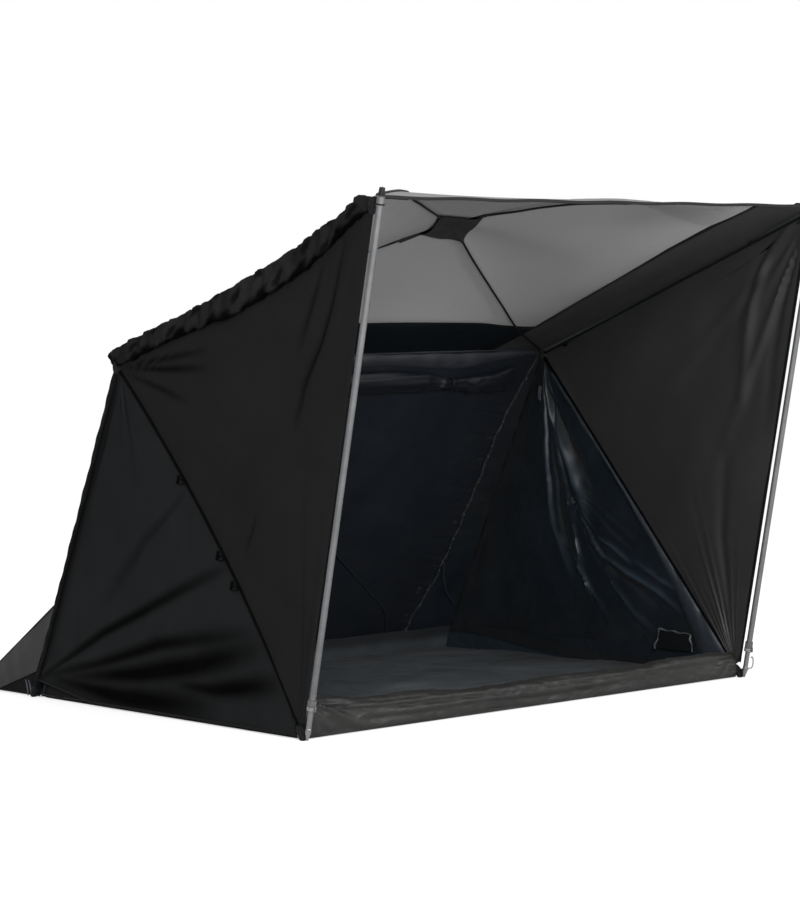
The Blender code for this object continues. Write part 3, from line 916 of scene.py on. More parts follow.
def read_places(mesh: Mesh) -> Array:
    """Reads the places of a mesh's vertices, one in each row.

    Args:
        mesh: the mesh.

    Returns:
        The places.
    """
    raw = np.zeros(len(mesh.vertices) * 3)
    mesh.vertices.foreach_get("co", raw)
    return raw.reshape(-1, 3)


def write_places(mesh: Mesh, places: Array) -> None:
    """Moves a mesh's vertices to their places."""
    mesh.vertices.foreach_set("co", places.ravel())
    mesh.update()


def write_uv(mesh: Mesh, flat: Array) -> None:
    """Writes a UV map from the flat place of each vertex.

    Args:
        mesh: the mesh.
        flat: the flat place of each vertex.
    """
    corners = np.zeros(len(mesh.loops), int)
    mesh.loops.foreach_get("vertex_index", corners)
    mesh.uv_layers.active.data.foreach_set("uv", flat[corners].ravel())


def add_grid(columns: int, rows: int) -> tuple[Object, Array, Array]:
    """Adds a flat grid.

    Args:
        columns: its steps across.
        rows: its steps along.

    Returns:
        The grid, and two shares from 0 to 1 for each vertex.
    """
    deselect()
    bpy.ops.mesh.primitive_grid_add(x_subdivisions=columns, y_subdivisions=rows, size=1.0)
    obj = bpy.context.active_object
    u, v = (read_places(obj.data)[:, :2] + 0.5).T
    return obj, u, v


def thicken(obj: Object, thickness: float, lined: bool = False) -> None:
    """Gives a sheet its thickness, with its second material inside where it is lined.

    Args:
        obj: the sheet.
        thickness: its thickness.
        lined: whether its inside has the second material.
    """
    solid = obj.modifiers.new("cloth", "SOLIDIFY")
    solid.thickness = thickness
    solid.offset = 0.0
    solid.material_offset = int(lined)
    freeze(obj)


def dress(obj: Object, material: Material) -> None:
    """Gives an object one material in all its slots."""
    obj.data.materials.clear()
    obj.data.materials.append(material)


class Loom:
    """Makes sheets, tapes, tubes and small fittings, and dresses them."""

    def __init__(self, wardrobe: Wardrobe) -> None:
        """Keeps the finishes."""
        self.wardrobe = wardrobe
        self.sheets: list[Sheet] = []

    @staticmethod
    def seat(obj: Object, name: str, slot: str,
             replaces: Sequence[str] = ()) -> Object:
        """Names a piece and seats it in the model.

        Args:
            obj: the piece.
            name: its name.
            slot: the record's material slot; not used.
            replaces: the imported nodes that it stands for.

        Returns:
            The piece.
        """
        obj.name = obj.data.name = name
        if replaces:
            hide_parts(*replaces)
        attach(obj, BODY)
        LOG.info("%s: %d faces", name, len(obj.data.polygons))
        return obj

    def finish_piece(self, obj: Object, name: str, finish: str, slot: str,
                     replaces: Sequence[str] = ()) -> Object:
        """Dresses a finished piece, then names and seats it, and returns it."""
        dress(obj, self.wardrobe.get(finish))
        return self.seat(obj, name, slot, replaces)

    def weave(self, sheet: Sheet) -> Sheet:
        """Makes one sheet of cloth.

        Args:
            sheet: what the sheet is.

        Returns:
            The same sheet, with its object and its flat size.
        """
        obj, u, v = add_grid(sheet.columns, sheet.rows)
        mesh, points = obj.data, sheet.surface(u, v)
        normals, outwards = self.normals(sheet, u, v)
        middle = unit(normals.mean(axis=0))
        self.measure(sheet, points, u, v)
        lift, shade = self.crumple(sheet, points, middle, u, v)
        placed = points + normals * lift[:, None]
        if sheet.hold is Hold.LAID:
            over = (placed[:, 2] - GROUND_GAP) * LAID_SHARPNESS
            placed[:, 2] = GROUND_GAP + np.logaddexp(0.0, over) / LAID_SHARPNESS
        write_places(mesh, placed)
        # the painted shade and painted highlight of each vertex, which the cloth materials read
        layer = mesh.attributes.new("fold_shade", "FLOAT", "POINT")
        layer.data.foreach_set("value", shade)
        self.unroll(mesh, points, middle)
        if outwards < 0:
            mesh.flip_normals()
        mesh.update()
        for finish in filter(None, (sheet.finish, sheet.lining)):
            mesh.materials.append(self.wardrobe.get(finish))
        thicken(obj, sheet.thickness, bool(sheet.lining))
        bpy.ops.object.shade_smooth_by_angle(angle=SMOOTH_ANGLE)
        sheet.obj = self.seat(obj, sheet.name, sheet.slot, sheet.replaces)
        self.sheets.append(sheet)
        return sheet

    @staticmethod
    def normals(sheet: Sheet, u: Array, v: Array, step: float = 0.004) -> tuple[Array, float]:
        """Finds which way the sheet faces.

        Args:
            sheet: what the sheet is.
            u: the share across of each point.
            v: the share along of each point.
            step: how far apart in shares the surface is compared.

        Returns:
            The outward normal at each point, and -1 where the grid faces inwards, else 1.
        """
        ahead_u = (sheet.surface(np.clip(u + step, 0, 1), v)
                   - sheet.surface(np.clip(u - step, 0, 1), v))
        ahead_v = (sheet.surface(u, np.clip(v + step, 0, 1))
                   - sheet.surface(u, np.clip(v - step, 0, 1)))
        normals = np.cross(ahead_u, ahead_v)
        normals /= np.maximum(np.linalg.norm(normals, axis=1, keepdims=True), 1e-12)
        outwards = np.sign((normals @ unit(np.array(sheet.facing, float))).sum() or 1.0)
        return normals * outwards, outwards

    @staticmethod
    def crumple(sheet: Sheet, points: Array, normal: Array, u: Array,
                v: Array) -> tuple[Array, Array]:
        """Adds up the sheet's folds.

        Args:
            sheet: what the sheet is.
            points: its smooth surface.
            normal: the way that it faces.
            u: the share across of each point.
            v: the share along of each point.

        Returns:
            How far each point is lifted, and its painted shading, from -1 for a painted highlight
            on a crest to 1 for painted shade in a valley.
        """
        hold = np.ones(len(points))
        for edge, distance in zip((u, 1.0 - u, v, 1.0 - v), sheet.pinned):
            if distance > 0.0:
                hold *= smooth(edge, 0.0, distance)
        lift = np.zeros(len(points))
        shades = [] if sheet.tone is None else [sheet.tone(u, v)]
        for relief in sheet.reliefs:
            lift += relief.height(points, normal)
            shades.append(relief.shade(points, normal))
        deep, crest = np.zeros((2, len(points)))
        for shade in shades:
            deep, crest = np.maximum(deep, shade), np.minimum(crest, shade)
        return lift * hold, np.clip(deep + crest, -1.0, 1.0)

    @staticmethod
    def measure(sheet: Sheet, points: Array, u: Array, v: Array) -> None:
        """Keeps the sheet's flat width, length and area, before its folds.

        Args:
            sheet: what the sheet is.
            points: its smooth surface.
            u: the share across of each point.
            v: the share along of each point.
        """
        order = np.lexsort((u, v))
        grid = points[order].reshape(sheet.rows + 1, sheet.columns + 1, 3)
        across, along = np.diff(grid, axis=1), np.diff(grid, axis=0)
        area = (np.linalg.norm(np.cross(along[:, :-1], across[:-1]), axis=-1)
                + np.linalg.norm(np.cross(across[1:], along[:, 1:]), axis=-1)).sum() / 2.0
        wide = np.linalg.norm(across, axis=-1).sum(axis=1).max()
        tall = np.linalg.norm(along, axis=-1).sum(axis=0).max()
        sheet.flat = (round(float(wide), 3), round(float(tall), 3))
        box = sheet.flat[0] * sheet.flat[1]
        sheet.area = float(np.clip(area, 0.3 * box, box))

    @staticmethod
    def unroll(mesh: Mesh, points: Array, normal: Array) -> None:
        """Writes a UV map in metres, laid flat square to the sheet's normal.

        Args:
            mesh: the sheet's mesh.
            points: its smooth surface.
            normal: the way that it faces.
        """
        guide = np.array([0.0, 0.0, 1.0]) if abs(normal[2]) < 0.9 else np.array([0.0, 1.0, 0.0])
        across = unit(np.cross(guide, normal))
        up = np.cross(normal, across)
        write_uv(mesh, np.stack([points @ across, points @ up], axis=-1))

    def tape(self, name: str, line: Surface, width: float, finish: str = "seam_tape",
             rows: int = 60, thickness: float = 0.0012, replaces: Sequence[str] = (),
             slot: str = "black_cloth") -> Object:
        """Makes a narrow tape.

        Args:
            name: the piece's name.
            line: gives a place for a share across from 0 to 1 and a share along.
            width: the tape's width, for its stitches.
            finish: its finish.
            rows: how many steps it has.
            thickness: its thickness.
            replaces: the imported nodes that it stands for.
            slot: the record's material slot.

        Returns:
            The tape.
        """
        obj, u, v = add_grid(4, rows)
        middle = line(np.full(rows + 1, 0.5), np.linspace(0.0, 1.0, rows + 1))
        length = np.linalg.norm(np.diff(middle, axis=0), axis=1).sum()
        write_places(obj.data, line(u, v))
        write_uv(obj.data, np.stack([(u - 0.5) * width, v * length], axis=-1))
        thicken(obj, thickness)
        return self.finish_piece(obj, name, finish, slot, replaces)

    def tube(self, name: str, points: Array, radius: float | Sequence[float], finish: str,
             slot: str, replaces: Sequence[str] = ()) -> Object:
        """Makes a round tube or cord with closed ends along points.

        Args:
            name: the piece's name.
            points: the places of its middle line.
            radius: its radius, or one for each point.
            finish: its finish.
            slot: the record's material slot.
            replaces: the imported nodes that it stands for.

        Returns:
            The tube, as a mesh.
        """
        radii = np.broadcast_to(np.asarray(radius, float), (len(points),))
        deselect()
        bpy.ops.curve.primitive_nurbs_path_add()
        path = bpy.context.active_object
        curve = path.data
        curve.splines.clear()
        spline = curve.splines.new("NURBS")
        spline.points.add(len(points) - 1)
        widest = float(radii.max())
        for control, place, size in zip(spline.points, points, radii):
            control.co = (*place, 1.0)
            control.radius = size / widest
        spline.order_u = 3
        spline.use_endpoint_u = True
        curve.resolution_u = curve.bevel_resolution = 4
        curve.bevel_depth = widest
        curve.use_fill_caps = True
        choose(path)
        bpy.ops.object.convert(target="MESH")
        obj = bpy.context.active_object
        turn_outwards(WELD)
        bpy.ops.object.shade_smooth_by_angle(angle=SMOOTH_ANGLE)
        freeze(obj)
        return self.finish_piece(obj, name, finish, slot, replaces)

    def copy(self, piece: Object, name: str, move: Array,
             slot: str) -> Object:
        """Copies a piece with its own mesh.

        Args:
            piece: the piece to copy.
            name: the copy's name.
            move: how far the copy is moved.
            slot: the record's material slot.

        Returns:
            The copy.
        """
        made = bpy.data.objects.new(name, piece.data.copy())
        made.data.transform(Matrix.Translation(Vector(move)))
        bpy.context.scene.collection.objects.link(made)
        return self.seat(made, name, slot)

    def declare(self) -> None:
        """Says what each sheet is, once every piece on it is there."""
        for sheet in self.sheets:
            LOG.info("%s: flat %.3f x %.3f, %.3f square metres", sheet.name, *sheet.flat,
                     sheet.area)


def tape_along(line: Callable[[Array], Array], across: Array, width: float,
               lift: Array) -> Surface:
    """Returns a tape's surface along a line, with its width along a fixed direction.

    Args:
        line: the tape's middle line, by the share along.
        across: the direction of its width.
        width: its width.
        lift: how far it is moved off the line.

    Returns:
        The tape's surface.
    """
    def place(u: Array, v: Array) -> Array:
        """Returns the tape's places."""
        return line(v) + across * ((u - 0.5) * width)[:, None] + lift
    return place


def polyline(points: Sequence[Point]) -> Callable[[Array], Array]:
    """Returns the function of 0 to 1 that runs along points at an even pace.

    Args:
        points: the corners of the way.

    Returns:
        The function.
    """
    places = np.array(points, float)
    gone = np.concatenate([[0.0], np.cumsum(np.linalg.norm(np.diff(places, axis=0), axis=1))])

    def place(share: Array) -> Array:
        """Returns the places at shares of the way."""
        at = np.asarray(share, float) * gone[-1]
        return np.stack([np.interp(at, gone, places[:, axis]) for axis in range(3)], axis=-1)
    return place


# ---- sub-assemblies ----


@dataclass
class SideWalls:
    """The three-cornered wall, the wing, the valance and the seams of one side."""

    loom: Loom
    side: Side
    sleeve: float = 0.0085
    hem_lift: float = 0.066
    valance_top: tuple[tuple[float, float], ...] = (
        (0.262, 1.515), (0.245, 1.530), (-0.021, 1.594), (-0.312, 1.661), (-0.461, 1.699),
        (-0.72, 1.773), (-1.008, 1.854), (-1.168, 1.915), (-1.324, 1.972), (-1.40, 2.003),
        (-1.452, 2.036), (-1.488, 2.042), (-1.570, 2.026))
    valance_low: tuple[tuple[float, float], ...] = (
        (0.262, 1.500), (0.225, 1.478), (0.157, 1.463), (-0.014, 1.500), (-0.276, 1.562),
        (-0.497, 1.606), (-0.711, 1.642), (-0.96, 1.716), (-1.16, 1.781), (-1.317, 1.854),
        (-1.432, 1.920), (-1.565, 1.990))
    sheets: dict[str, Sheet] = field(default_factory=dict)

    def at(self, y: float, z: float) -> Point:
        """Returns a point of the side's plane."""
        return (self.side.value * SIZES.half_width, y, z)

    def fold(self, places: tuple[tuple[float, float], ...], width: float, depth: float,
             dark: float = 0.0, valley: bool = False) -> Fold:
        """Returns a fold through places of the side's plane, with painted shade, or a painted
        highlight where dark is below 0.
        """
        return Fold(tuple(self.at(y, z) for y, z in places), width, depth, dark, valley)

    def wall_surface(self, u: Array, v: Array) -> Array:
        """Returns the wall from the rear rafter to the front one, and from ground to ridge.

        Args:
            u: shares from rear to front.
            v: shares upwards.

        Returns:
            The places.
        """
        seam = 0.004 + 0.992 * v
        rear = SIZES.rear_rafter(self.side, seam)
        front = SIZES.front_rafter(self.side, seam)
        low = np.clip(1.0 - v, 0.0, 1.0) ** 14
        rear[:, 1] -= 0.022 * low
        front[:, 1] += 0.030 * low
        places = mix(rear, front, u)
        highest = self.hem_lift if self.side is Side.LEFT else 0.012
        lift = highest * np.clip(1.0 - u / 0.235, 0.0, 1.0)
        places[:, 2] += low * (0.004 + lift - SIZES.fitting_z)
        hollow = 0.016 * np.sin(np.pi * u) * np.sin(np.pi * np.clip(v, 0, 1) ** 0.8)
        places[:, 0] -= self.side.value * hollow
        return places

    def wall_folds(self) -> tuple[Relief, ...]:
        """Returns the folds of the wall on this side.

        Returns:
            The folds.
        """
        if self.side is Side.LEFT:
            return (
                Billow(0.60, 0.0035, 3), Billow(0.18, 0.0006, 5),
                self.fold(((1.0, 0.07), (0.42, 0.33), (-0.17, 0.54), (-0.52, 0.65)),
                          0.024, 0.016, 0.95),
                self.fold(((0.90, 0.11), (0.43, 0.20), (-0.02, 0.31), (-0.69, 0.40)),
                          0.038, 0.024, 1.0),
                self.fold(((0.70, 0.12), (0.13, 0.18), (-0.29, 0.25), (-0.73, 0.35)),
                          0.058, 0.030, 1.2),
                self.fold(((-0.12, 0.15), (-0.41, 0.15), (-0.87, 0.22)), 0.048, 0.024, 1.1),
                self.fold(((0.86, 0.10), (0.29, 0.07), (-0.36, 0.09)), 0.060, 0.020, 1.2),
                self.fold(((-0.25, 0.95), (0.10, 0.73), (0.41, 0.47)), 0.030, 0.006, 0.35),
                self.fold(((0.24, 1.36), (0.36, 1.13), (0.50, 0.90)), 0.018, 0.008, 0.6, True),
                Fan(self.at(0.205, 1.42), self.at(0.16, 1.0), 20.0, 2.0, 0.42, 0.008, 0.5),
            )
        return (
            Billow(0.38, 0.0060, 8), Billow(0.10, 0.0016, 6),
            self.fold(((0.19, 1.34), (0.16, 1.21), (0.08, 1.07), (0.0, 0.91), (-0.06, 0.78),
                       (-0.12, 0.61)), 0.024, 0.019, -0.50, True),
            self.fold(((0.08, 1.10), (0.01, 0.95), (-0.04, 0.82), (-0.08, 0.72)), 0.020, 0.008,
                      -0.50, True),
            self.fold(((0.16, 1.28), (0.10, 1.16), (-0.06, 0.95), (-0.17, 0.76)), 0.024, -0.020,
                      0.9, True),
            self.fold(((0.19, 1.22), (0.17, 0.94), (0.16, 0.74), (0.13, 0.62), (0.08, 0.52),
                       (0.03, 0.40)), 0.014, 0.014, -0.55, True),
            self.fold(((0.15, 1.10), (0.11, 0.92), (0.09, 0.72), (0.05, 0.58), (-0.02, 0.44)),
                      0.020, -0.014, 0.8, True),
            self.fold(((-0.08, 0.62), (-0.20, 0.51), (-0.36, 0.44), (-0.55, 0.36), (-0.74, 0.24)),
                      0.013, 0.015, -0.80, True),
            self.fold(((-0.14, 0.50), (-0.34, 0.41), (-0.52, 0.32)), 0.014, -0.012, 0.8, True),
            self.fold(((0.04, 0.54), (-0.07, 0.40), (-0.12, 0.27)), 0.010, 0.012, -0.75, True),
            self.fold(((-0.20, 0.46), (-0.28, 0.36), (-0.39, 0.25), (-0.50, 0.16)), 0.010, 0.010,
                      -0.80, True),
            self.fold(((-0.16, 0.60), (-0.27, 0.55), (-0.40, 0.48)), 0.009, 0.011, -0.90, True),
            self.fold(((-0.22, 0.66), (-0.31, 0.60), (-0.42, 0.55)), 0.008, -0.009, 0.7, True),
            self.fold(((0.00, 0.66), (-0.04, 0.52), (-0.03, 0.40)), 0.009, 0.010, -0.70, True),
            self.fold(((-0.02, 0.44), (-0.15, 0.30), (-0.22, 0.20)), 0.009, 0.010, -0.70, True),
            self.fold(((-0.40, 0.50), (-0.56, 0.42), (-0.70, 0.36)), 0.010, 0.010, -0.60, True),
            Fan(self.at(0.06, 0.86), self.at(-0.34, 0.33), 30.0, 9.0, 0.62, 0.008, 0.4, 0.6),
            Fan(self.at(0.205, 1.43), self.at(0.05, 0.80), 15.0, 3.0, 0.95, 0.014, 0.9, 0.7),
            Fan(self.at(0.97, 0.06), self.at(0.3, 0.3), 24.0, 3.0, 0.9, 0.010, 1.6, 0.3),
        )

    def wing_surface(self, u: Array, v: Array) -> Array:
        """Returns the wing from its seam on the rafter to its free edge, tucked under the roof.

        Args:
            u: shares from seam to edge.
            v: shares upwards.

        Returns:
            The places.
        """
        seam = SIZES.front_rafter(self.side, 0.02 + 0.980 * v)
        free = SIZES.free_edge(self.side, 0.025 + 0.968 * v)
        places = mix(seam, free, u)
        places[:, 0] -= self.side.value * 0.018 * np.sin(np.pi * u) * np.sin(np.pi * v)
        tuck = smooth(v, 0.94, 1.0)
        places[:, 2] += 0.026 * tuck
        places[:, 0] += self.side.value * 0.004 * tuck
        return places

    def wing_folds(self) -> tuple[Relief, ...]:
        """Returns the folds of the wing on this side.

        Returns:
            The folds.
        """
        if self.side is Side.LEFT:
            return (
                Billow(0.7, 0.0030, 11),
                self.fold(((0.17, 1.455), (-0.11, 1.48), (-0.43, 1.51)), 0.013, 0.008, 0.8, True),
                self.fold(((0.17, 1.45), (-0.11, 1.44), (-0.42, 1.44)), 0.016, 0.010, 0.95),
                self.fold(((0.16, 1.43), (-0.03, 1.38), (-0.27, 1.31)), 0.018, 0.010, 0.65),
                self.fold(((-1.38, 1.89), (-1.27, 1.65), (-1.19, 1.51), (-1.07, 1.36),
                           (-0.99, 1.20)), 0.020, 0.014, 0.75, True),
                self.fold(((-1.44, 1.88), (-1.34, 1.65), (-1.24, 1.47)), 0.020, -0.009, 0.0, True),
                self.fold(((-1.23, 1.80), (-1.14, 1.66), (-1.05, 1.50)), 0.022, 0.010, 0.5, True),
                self.fold(((-0.71, 0.85), (-0.63, 0.71)), 0.012, 0.006, 0.5, True),
                Fan(self.at(-1.02, 0.06), self.at(-1.08, 0.9), 12.0, 2.0, 1.0, 0.003, 0.4, 0.3),
            )
        return (
            Billow(0.7, 0.0040, 12),
            self.fold(((-1.49, 2.00), (-1.31, 1.84), (-1.21, 1.63), (-1.16, 1.42), (-1.13, 1.2)),
                      0.024, 0.018, -0.20, True),
            self.fold(((-1.40, 1.95), (-1.24, 1.79), (-1.13, 1.59), (-1.08, 1.4)), 0.024, -0.009,
                      0.40, True),
            self.fold(((-1.49, 1.92), (-1.37, 1.62), (-1.30, 1.37), (-1.26, 1.1)), 0.024, -0.012,
                      0.55, True),
            Fan(self.at(-1.54, 1.99), self.at(-1.20, 1.45), 24.0, 4.5, 1.05, -0.012, 0.8, 0.35),
            Fan(self.at(-1.01, 0.05), self.at(-0.86, 0.55), 24.0, 8.0, 0.66, -0.005, 0.3, 0.25),
            self.fold(((-0.99, 0.30), (-0.97, 0.62), (-1.02, 1.00)), 0.026, -0.010, 0.25, True),
        )

    def valance_surface(self, u: Array, v: Array) -> Array:
        """Returns the valance: over its face and under, and from the ridge to the awning.

        Args:
            u: shares downwards.
            v: shares to the front.

        Returns:
            The places.
        """
        y = 0.262 - 1.832 * v
        high, low = (np.interp(-y, -edge[0], edge[1]) for edge in
                     (np.array(self.valance_top).T, np.array(self.valance_low).T))
        steps = [0.0, 0.12, 0.5, 0.74, 0.9, 1.0]
        down = np.interp(u, steps, [0.0, 0.03, 0.55, 1.0, 1.08, 1.0])
        out = np.interp(u, steps, [-0.012, 0.008, 0.024, 0.032, 0.016, 0.003])
        uneven = 0.80 + 0.13 * np.sin(29.0 * v + 0.7) + 0.10 * np.sin(67.0 * v + 2.0)
        ends = smooth(v, 0.0, 0.10) * 0.7 + 0.3
        z = high + (low - high) * down
        z = z + 0.003 * np.sin(83.0 * v + 3.0 * u) * np.sin(np.pi * u)
        out = out * np.where(out > 0, uneven * ends, 1)
        x = self.side.value * (SIZES.half_width - 0.03 * v + out)
        return np.stack([x, y + 0.4 * (high - z), z], axis=-1)

    def build(self) -> None:
        """Makes every piece of the side."""
        sign, label = self.side.value, self.side.label
        outwards = (sign, 0.0, 0.0)

        def shaded(u: Array, v: Array) -> Array:
            """Darkens the wall's rear edge, and on the right wall paints shade over its rear and
            its foot.
            """
            edge = 0.95 * np.exp(-(u * (1.05 - v) / 0.022) ** 2)
            if self.side is Side.LEFT:
                return edge
            low = 0.45 * smooth(0.30 - v, 0.0, 0.25)
            return np.maximum(edge, np.maximum(0.50 * smooth(0.45 - u, 0.0, 0.40), low))
        self.sheets["wall"] = self.loom.weave(Sheet(
            f"wall_sheet_{label}", self.wall_surface, 130, 140, "wall_cloth", outwards,
            self.wall_folds(), (0.03, 0.03, 0.0, 0.05), replaces=(f"side_wall_{label}",),
            slot="wall_cloth", rests_on=(f"rear_sleeve_{label}", f"front_sleeve_{label}"),
            lining="wall_lining", tone=shaded))
        self.sheets["wing"] = self.loom.weave(Sheet(
            f"wing_sheet_{label}", self.wing_surface, 110, 130, "wing_cloth", outwards,
            self.wing_folds(), (0.03, 0.03, 0.03, 0.03), replaces=(f"wing_{label}",),
            rests_on=(f"front_sleeve_{label}", f"eaves_sheet_{label}"), lining="wing_lining"))
        start, end = self.at(0.25, 1.48), (sign * 1.15, -1.56, 2.02)

        def stained(u: Array, v: Array) -> Array:
            """Paints shadow along the valance's curled-under lower edge, and darkens spots all over
            it.
            """
            ragged = 0.10 * np.sin(41.0 * v + 1.0) + 0.07 * np.sin(97.0 * v + 2.0)
            spots = np.sin(53.0 * v + 4.0 * u) * np.sin(23.0 * v - 5.0 * u + 1.0)
            return np.maximum(smooth(u + ragged, 0.60, 0.80), 0.75 * smooth(spots, 0.35, 0.85))
        self.loom.weave(Sheet(
            f"valance_sheet_{label}", self.valance_surface, 16, 240, "valance_cloth", outwards,
            (Gathers(start, end, 0.118, 0.14, 0.0030, 2.0, 0.5), Billow(0.07, 0.0050, 15)),
            (0.0, 0.08, 0.0, 0.0), replaces=(f"valance_{label}",), hold=Hold.HUNG,
            rests_on=(f"eaves_sheet_{label}",), tone=stained))
        self.build_sleeves()
        self.build_bindings()
        self.build_toggles()

    def build_sleeves(self) -> None:
        """Makes the cloth sleeves that hide the two rafters."""
        label = self.side.label
        share = np.linspace(0.012, 0.985, 90)
        uneven = self.sleeve * (1.0 + 0.05 * np.sin(share * 71.0) + 0.04 * np.sin(share * 173.0))
        self.loom.tube(f"front_sleeve_{label}", SIZES.front_rafter(self.side, share), uneven,
                       "sleeve_cloth", "frame_black", (f"rafter_front_{label}",))
        ragged = 0.0105 * (1.0 + 0.10 * np.sin(share * 113.0) + 0.13 * np.sin(share * 41.0 + 1.0)
                           + 0.10 * np.sin(share * 287.0))
        self.loom.tube(f"rear_sleeve_{label}", SIZES.rear_rafter(self.side, share), ragged,
                       "rear_sleeve_cloth", "frame_black", (f"rafter_rear_{label}",))

    def build_bindings(self) -> None:
        """Makes the stitched bindings of the wing's free edge, the wall's hem and the seam."""
        sign, label = self.side.value, self.side.label
        aside = unit(np.array([0.0, 0.966, 0.258]))

        def free(share: Array) -> Array:
            """Returns the wing's free edge."""
            return SIZES.free_edge(self.side, 0.022 + 0.972 * share)
        wing, wall = self.sheets["wing"], self.sheets["wall"]
        wing.sew(self.loom.tape(
            f"wing_binding_{label}", tape_along(free, aside, 0.014, aside * 0.004), 0.014,
            thickness=0.0040))

        def hem(u: Array, v: Array) -> Array:
            """Returns the hem's strip along the ground."""
            places = self.wall_surface(v, np.zeros(len(v)))
            places[:, 2] += 0.001 + 0.010 * u
            places[:, 0] += sign * 0.0006
            return places
        wall.sew(self.loom.tape(f"wall_hem_{label}", hem, 0.010, rows=90, thickness=0.0040))

        def seam(share: Array) -> Array:
            """Returns the line of the front rafter."""
            return SIZES.front_rafter(self.side, 0.03 + 0.93 * share)
        share = np.linspace(0.015, 0.985, 90)[:, None]
        corner = SIZES.ridge(self.side) * (1.0 - share) + SIZES.awning(self.side) * share
        wing.sew(self.loom.tube(
            f"eaves_seam_{label}", corner + np.array([-sign * 0.007, 0.0, -0.008]), 0.0052,
            "dark_border_cloth", "black_cloth"))
        across = unit(np.array([0.0, 0.72, 0.69]))
        wing.sew(self.loom.tape(
            f"front_seam_{label}", tape_along(seam, across, 0.018, np.array([sign * 0.0090, 0, 0])),
            0.018))

    def build_toggles(self) -> None:
        """Makes the toggles and their loops, which tie the cloth to the front rafter."""
        sign, label = self.side.value, self.side.label
        first: list[Object] = []
        home = np.zeros(3)
        for number, share in enumerate((0.655, 0.445, 0.365)):
            on_rafter = SIZES.front_rafter(self.side, np.array([share]))[0]
            root = on_rafter + np.array([sign * 0.012, 0.052, 0.024])
            if not first:
                home = root
                heading = unit(np.array([0.0, 0.35, -0.94]))
                line = np.array([root - heading * 0.018, root, root + heading * 0.018])
                turn = np.linspace(0.0, 2.0 * math.pi, 17)
                loop = root + np.stack([np.full(17, sign * 0.002), -0.022 + 0.026 * np.cos(turn),
                                        -0.010 + 0.010 * np.sin(turn)], axis=-1)
                first = [self.loom.tube(f"toggle_{label}_0", line, [0.0055, 0.0068, 0.0055],
                                        "sleeve_cloth", "frame_black"),
                         self.loom.tube(f"toggle_loop_{label}_0", loop, 0.0024, "sleeve_cloth",
                                        "cord_black")]
                self.sheets["wall"].sew(*first)
                continue
            for piece, name in zip(first, ("toggle", "toggle_loop")):
                self.sheets["wall"].sew(
                    self.loom.copy(piece, f"{name}_{label}_{number}", root - home, "frame_black"))


